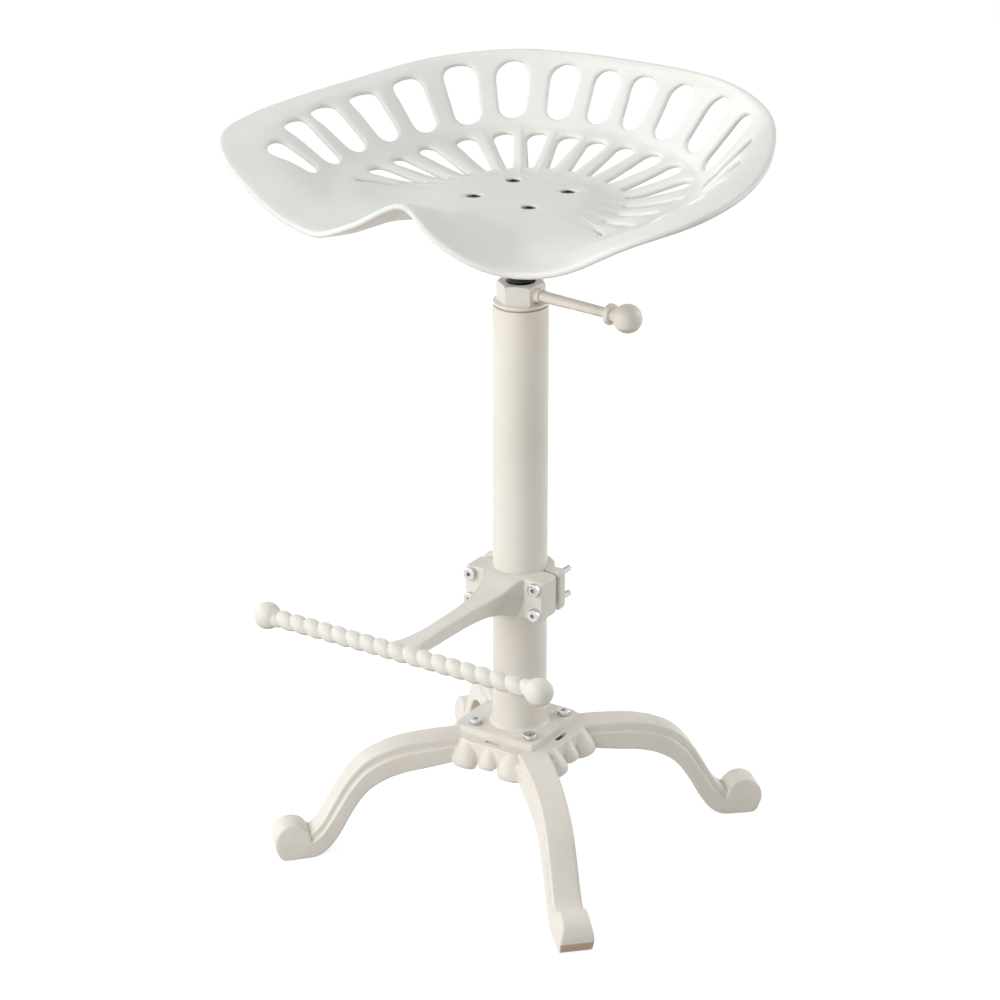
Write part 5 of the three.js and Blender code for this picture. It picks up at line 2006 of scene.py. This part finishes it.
    def slot_outline(self) -> Loop:
        """The slot at the front of the hub, slightly bowed.

        Returns:
            Its outline, counter-clockwise.
        """
        half, end, steps = self.slot_length / 2, self.slot_width / 2, self.slot_end_steps
        outline: Loop = []
        for side in (1, -1):
            for j in range(steps + 1):
                turn = radians(-90 * side + 180 * j / steps)
                x = side * (half - end) + end * cos(turn)
                bow = self.slot_bow * (abs(x) / half) ** 2
                outline.append((x, -self.slot_set_back + bow + end * sin(turn)))
        return outline

    def pocket(self) -> Skin:
        """The dark hollow that opens into the slot on the lever's side.

        Returns:
            The hollow's skin.
        """
        half = self.pocket_length / 2
        outline = [(self.slot_set_back - self.pocket_depth, -half), (self.slot_set_back, -half),
                   (self.slot_set_back, half), (self.slot_set_back - self.pocket_depth, half)]
        return prism(outline, self.top - self.pocket_height - self.pocket_roof, self.top - self.pocket_roof)


# Footrest


@dataclass
class Footrest:
    """The two clamp castings, the arm, the twisted bar with its balls and the clamp screws."""

    height: float = 250.0
    clamp_height: float = 38.0
    column_radius: float = 24.5
    saddle_wall: float = 7.5
    rear_wall: float = 6.5
    lug_inner: float = 21.5
    lug_outer: float = 40.5
    lug_front: float = 28.0
    lug_back: float = 3.6
    rear_start: float = 2.6
    rear_thickness: float = 9.4
    screw_offset: float = 33.6
    screw_rise: float = 12.2
    screw: CapScrew = CapScrew(shank=2.9, head=5.8, head_height=5.0, length=58.0, socket=2.1,
                               socket_depth=2.2, thread_length=26.0)
    bore_stock: float = 1.5
    arc_steps: int = 60
    lug_corner: float = 3.2
    lug_corner_steps: int = 6
    # Along from a lug's end and in from its side
    lug_easing: Pairs = ((0.0, 1.0), (0.35, 0.3), (1.0, 0.0))
    bar_half: float = 139.2
    bar_back: float = 189.7
    bar_rise: float = 6.5
    bar_radius: float = 8.1
    bar_groove: float = 3.2
    bar_pitch: float = 14.65
    bar_sharpness: float = 0.4
    bar_steps: int = 14
    bar_sides: int = 36
    ball_radius: float = 12.1
    seam_depth: float = 1.2
    seam_rise: float = 0.28
    seam_half: float = 0.35
    seam_easing: float = 0.2
    set_back_shares: Row = (0.12, 0.17, 0.235, 0.33, 0.45, 0.63, 0.82, 0.905, 0.975)
    width_shares: Row = (1, 0.84, 0.63, 0.46, 0.355, 0.315, 0.335, 0.4, 0.56)
    top_shares: Row = (0.98, 0.96, 0.66, 0.5, 0.475, 0.475, 0.5, 0.56, 0.6)
    bottom_shares: Row = (-0.94, -0.86, -0.64, -0.42, -0.31, -0.26, -0.2, -0.1, 0.02)
    arm_half: float = 24.0
    edge_share: float = 0.96
    edge_slope: float = 2.2
    foot_share: float = 0.76
    most_top_share: float = 0.98
    arm_steps: int = 48
    voxel: float = 0.62
    front_passes: int = 2
    rear_passes: int = 3

    def __post_init__(self) -> None:
        """Works out the clamp's lower and upper ends."""
        self.low, self.high = self.height - self.clamp_height / 2, self.height + self.clamp_height / 2

    def half_ring(self, wall: float, front: bool) -> Skin:
        """Half of the clamp's ring as a closed skin, cut on a flat beside the column's axis.

        Args:
            wall: The ring's wall.
            front: Whether it is the front half.

        Returns:
            The half ring.
        """
        bore = self.column_radius + GAP
        inner, outer = bore - self.bore_stock, bore + wall
        edge = self.lug_back if front else self.rear_start
        side = -1 if front else 1
        inner_start, outer_start = asin(edge / inner), asin(edge / outer)
        outline: Loop = []
        for radius, start, end in ((outer, outer_start, pi - outer_start),
                                   (inner, pi - inner_start, inner_start)):
            for t in np.linspace(start, end, self.arc_steps):
                outline.append((radius * cos(t), side * radius * sin(t)))
        return prism(outline if side > 0 else outline[::-1], self.low, self.high)

    def lug(self, side: int, near: float, far: float) -> Skin:
        """One lug beside the column between two places along Y, with eased corners.

        Args:
            side: Left or right, as -1 or 1.
            near: The nearer place.
            far: The farther place.

        Returns:
            The lug.
        """
        corner, middle = self.lug_corner, (self.lug_inner + self.lug_outer) / 2
        outline: Loop = []
        for z, start in ((self.low + corner, -90), (self.high - corner, 0)):
            for j in range(self.lug_corner_steps + 1):
                turn = radians(start + 90 * j / self.lug_corner_steps)
                outline.append((self.lug_outer - corner + corner * cos(turn),
                                z + corner * sin(turn)))
        outline += [(self.lug_inner, self.high), (self.lug_inner, self.low)]
        ends = [(near + along, inset) for along, inset in self.lug_easing]
        ends += [(far - along, inset) for along, inset in self.lug_easing[::-1]]
        rings = []
        for y, inset in ends:
            rings.append(np.array([(side * (x - copysign(inset, x - middle)), y,
                                    z - copysign(inset, z - self.height)) for x, z in outline]))
        return loft(rings)

    def arm(self) -> Skin:
        """The tapering arm with crisp shoulders.

        Returns:
            The arm.
        """
        steps = np.linspace(self.set_back_shares[0], self.set_back_shares[-1], self.arm_steps)
        rows = [station_curve(row, self.set_back_shares, steps)
                for row in (self.width_shares, self.top_shares, self.bottom_shares)]
        rings = []
        for share, width, top, low in zip(steps, *rows):
            half = self.arm_half * width
            high = self.height + self.clamp_height / 2 * min(top, self.most_top_share)
            under = self.height + self.clamp_height / 2 * low
            edge = high - self.edge_slope * (high - under) * (1 - self.edge_share)
            foot = half * self.foot_share
            loop = [(-foot, under), (foot, under), (half, edge), (half * self.edge_share, high),
                    (-half * self.edge_share, high), (-half, edge)]
            rings.append(np.array([(x, -self.bar_back * share, z) for x, z in loop]))
        return loft(rings)

    def bar(self) -> Skin:
        """The twisted bar along X.

        Returns:
            The bar.
        """
        twists = round(2 * self.bar_half / self.bar_pitch)
        steps = twists * self.bar_steps
        angle = np.arange(self.bar_sides) * FULL_TURN / self.bar_sides
        rings = []
        for k in range(steps + 1):
            x = -self.bar_half + 2 * self.bar_half * k / steps
            turn = k / self.bar_steps * FULL_TURN
            crest = np.abs(np.cos((angle - turn) / 2)) ** self.bar_sharpness
            radius = self.bar_radius - self.bar_groove * (1 - crest)
            rings.append(circle(angle, radius, x)[:, [2, 0, 1]])
        return loft(rings).moved(0, -self.bar_back, self.height + self.bar_rise)

    def screw_bores(self) -> list[Skin]:
        """The four clearance holes along Y.

        Returns:
            One skin for each hole.
        """
        reach = 2 * self.lug_front
        bore = rod(self.screw.shank + GAP, -reach, reach, 28).turned(Axis.X, 90)
        return [bore.moved(x, 0, self.height + z) for x, z in self.screw_spots()]

    def screw_spots(self) -> list[Pair]:
        """Where the clamp's screws lie, across and up from its middle."""
        offset, rise = self.screw_offset, self.screw_rise
        return [(x, z) for x in (-offset, offset) for z in (rise, -rise)]

    def casting(self, name: str, skins: list[Skin], passes: int) -> Piece:
        """Fuses one of the clamp's castings and bores it for the column and the screws.

        Args:
            name: The casting's name.
            skins: Its overlapping skins.
            passes: How often its points are smoothed.

        Returns:
            The casting.
        """
        bore = rod(self.column_radius + GAP, self.low - OVERRUN, self.high + OVERRUN, 96)
        return carved(carved(fused(name, skins, self.voxel, passes), [bore]), self.screw_bores())

    def build(self, finishes: Finishes) -> None:
        """Makes both castings and the clamp screws.

        Args:
            finishes: The stool's finishes.
        """
        paint = finishes.fit(Body.FOOTREST, Slot.FOOTREST_PAINT, CAST_DEG)
        seam = lathe(ring_profile(self.ball_radius - self.seam_depth, self.ball_radius + self.seam_rise,
                                  -self.seam_half, self.seam_half, self.seam_easing), 72).turned(Axis.X, 90)
        front = [self.half_ring(self.saddle_wall, True), self.arm(), self.bar()]
        for side in (-1, 1):
            ball = globe(self.ball_radius, 72).turned(Axis.Y, 90 * side)
            front += [skin.moved(side * self.bar_half, -self.bar_back, self.height + self.bar_rise)
                      for skin in (ball, seam)]
        front += [self.lug(side, -self.lug_front, -self.lug_back) for side in (-1, 1)]
        place(self.casting("foot_bar", front, self.front_passes), paint, "footrest_casting")
        rear = [self.half_ring(self.rear_wall, False)]
        rear += [self.lug(side, self.rear_start, self.rear_start + self.rear_thickness) for side in (-1, 1)]
        place(self.casting("rear_clamp", rear, self.rear_passes), paint, "footrest_rear_clamp")
        zinc = finishes.fit(Body.FOOTREST, Slot.ZINC)
        centre = axis_place()
        lay = Matrix.Rotation(pi / 2, 4, "X") @ Matrix.Translation(-centre)
        for k, (x, z) in enumerate(self.screw_spots()):
            screw = self.screw.build(f"foot_clamp_screw_{k + 1}", 0.0)
            move = shift(x, -self.lug_front, self.height + z)
            screw.data.transform(Matrix.Translation(centre) @ move @ lay)
            place(screw, zinc, f"clamp_screw_{k + 1}")


# Studio


@dataclass(frozen=True)
class Lamp:
    """A square soft light."""

    name: str
    spot: Spot
    size: float
    power: float

    def build(self, aim: Spot) -> None:
        """Makes the light, turned towards a point.

        Args:
            aim: The point.
        """
        data = bpy.data.lights.new(self.name, "AREA")
        data.size = self.size
        data.energy = self.power
        made = bpy.data.objects.new(self.name, data)
        made.location = self.spot
        made.rotation_euler = (Vector(aim) - Vector(self.spot)).to_track_quat("-Z", "Y").to_euler()
        bpy.context.scene.collection.objects.link(made)


@dataclass
class Studio:
    """The white sweep, the soft lights and the camera."""

    distance: float = 2.3938
    height: float = 1.3197
    azimuth_deg: float = 32.36
    pitch_deg: float = -22.46
    lens: float = 105.31
    sensor: float = 36.0
    yaw_deg: float = 0.429
    floor_half: float = 9.0
    floor_depth: float = 0.02
    floor_glow: float = 0.84
    floor_noise: Noise = (1.5, 2.0, 0.5)
    floor_low: Tint = (0.62, 0.60, 0.57, 1.0)
    floor_high: Tint = (0.66, 0.64, 0.61, 1.0)
    floor_seen: Tint = (0.34, 0.34, 0.34, 1.0)
    white: Tint = (1.0, 1.0, 1.0, 1.0)
    sky: Tint = (1.0, 0.98, 0.95, 1.0)
    sky_strength: float = 0.2
    aim: Spot = (0.0, 0.0, 0.4)
    lamps: tuple[Lamp, ...] = (
        Lamp("key", (-1.75, -2.29, 1.45), 1.8, 34.0), Lamp("front", (0.0, -2.94, 1.6), 1.8, 34.5),
        Lamp("left_rim", (-2.88, 0.07, 1.7), 1.8, 22.5), Lamp("right_rim", (1.75, 2.29, 1.3), 1.8, 42.0),
        Lamp("top", (-0.06, -0.5, 2.9), 2.2, 19.0))

    def build(self) -> None:
        """Makes the floor, backdrop, lights and camera."""
        self.floor()
        self.world()
        for lamp in self.lamps:
            lamp.build(self.aim)
        self.camera()
        scene = bpy.context.scene
        scene.view_settings.view_transform = "Standard"
        scene.view_settings.look = "None"

    def floor(self) -> None:
        """A pale floor that shows white to the camera and still takes the shadow."""
        half, depth = self.floor_half / MM, self.floor_depth / MM
        corners = [(-half, -half), (half, -half), (half, half), (-half, half)]
        sweep = as_object("floor", prism(corners, -depth, 0.0))
        made, sheet, shader = blank_material("floor")
        tone = sheet.noise(sheet.node("ShaderNodeTexCoord").outputs["Object"], *self.floor_noise)
        pale = sheet.mix(tone, self.floor_low, self.floor_high)
        seen = self.looked_at(sheet)
        sheet.link(sheet.mix(seen, pale, self.floor_seen), shader.inputs["Base Color"])
        shader.inputs["Emission Color"].default_value = self.white
        sheet.link(sheet.maths("MULTIPLY", seen, self.floor_glow), shader.inputs["Emission Strength"])
        shader.inputs["Roughness"].default_value = 0.8
        sweep.data.materials.append(made)

    @staticmethod
    def looked_at(sheet: NodeSheet) -> Socket:
        """One where the camera looks straight or by a reflection, else nought.

        Args:
            sheet: The sheet that is wired.

        Returns:
            The mask.
        """
        path = sheet.node("ShaderNodeLightPath")
        either = sheet.maths("MAXIMUM", path.outputs["Is Camera Ray"], path.outputs["Is Glossy Ray"])
        return sheet.maths("MAXIMUM", either, path.outputs["Is Transmission Ray"])

    def world(self) -> None:
        """A plain soft sky, pure white where the camera looks straight at it."""
        world = bpy.data.worlds.new("studio")
        world.use_nodes = True
        world.node_tree.nodes.clear()
        sheet = NodeSheet(world.node_tree)
        mix, output = sheet.node("ShaderNodeMixShader"), sheet.node("ShaderNodeOutputWorld")
        sheet.link(self.looked_at(sheet), mix.inputs[0])
        for slot, (tint, strength) in enumerate(((self.sky, self.sky_strength), (self.white, 1.0)), 1):
            back = sheet.fed("ShaderNodeBackground", 0, {"Color": tint, "Strength": strength})
            sheet.link(back, mix.inputs[slot])
        sheet.link(mix.outputs[0], output.inputs["Surface"])
        bpy.context.scene.world = world

    def camera(self) -> None:
        """The camera of the photograph, fitted to the column, nut, flange and base."""
        azimuth, pitch = radians(self.azimuth_deg), radians(self.pitch_deg)
        data = bpy.data.cameras.new("camera")
        data.lens = self.lens
        data.sensor_width = self.sensor
        camera = bpy.data.objects.new("camera", data)
        foot = axis_place()
        camera.location = (foot.x + self.distance * sin(azimuth),
                           foot.y - self.distance * cos(azimuth), self.height)
        camera.rotation_euler = (pi / 2 + pitch, 0.0, azimuth + radians(self.yaw_deg))
        bpy.context.scene.collection.objects.link(camera)
        bpy.context.scene.camera = camera


def main() -> None:
    """Builds every class in order."""
    logging.basicConfig(level=logging.INFO, format="%(message)s")
    finishes = Finishes()
    finishes.build()
    for part in (SeatCasting(), SpindleLift(), LockNut(), Column(), Base(), Footrest()):
        LOG.info("%s", type(part).__name__)
        part.build(finishes)
    Studio().build()


if __name__ == "__main__":
    main()
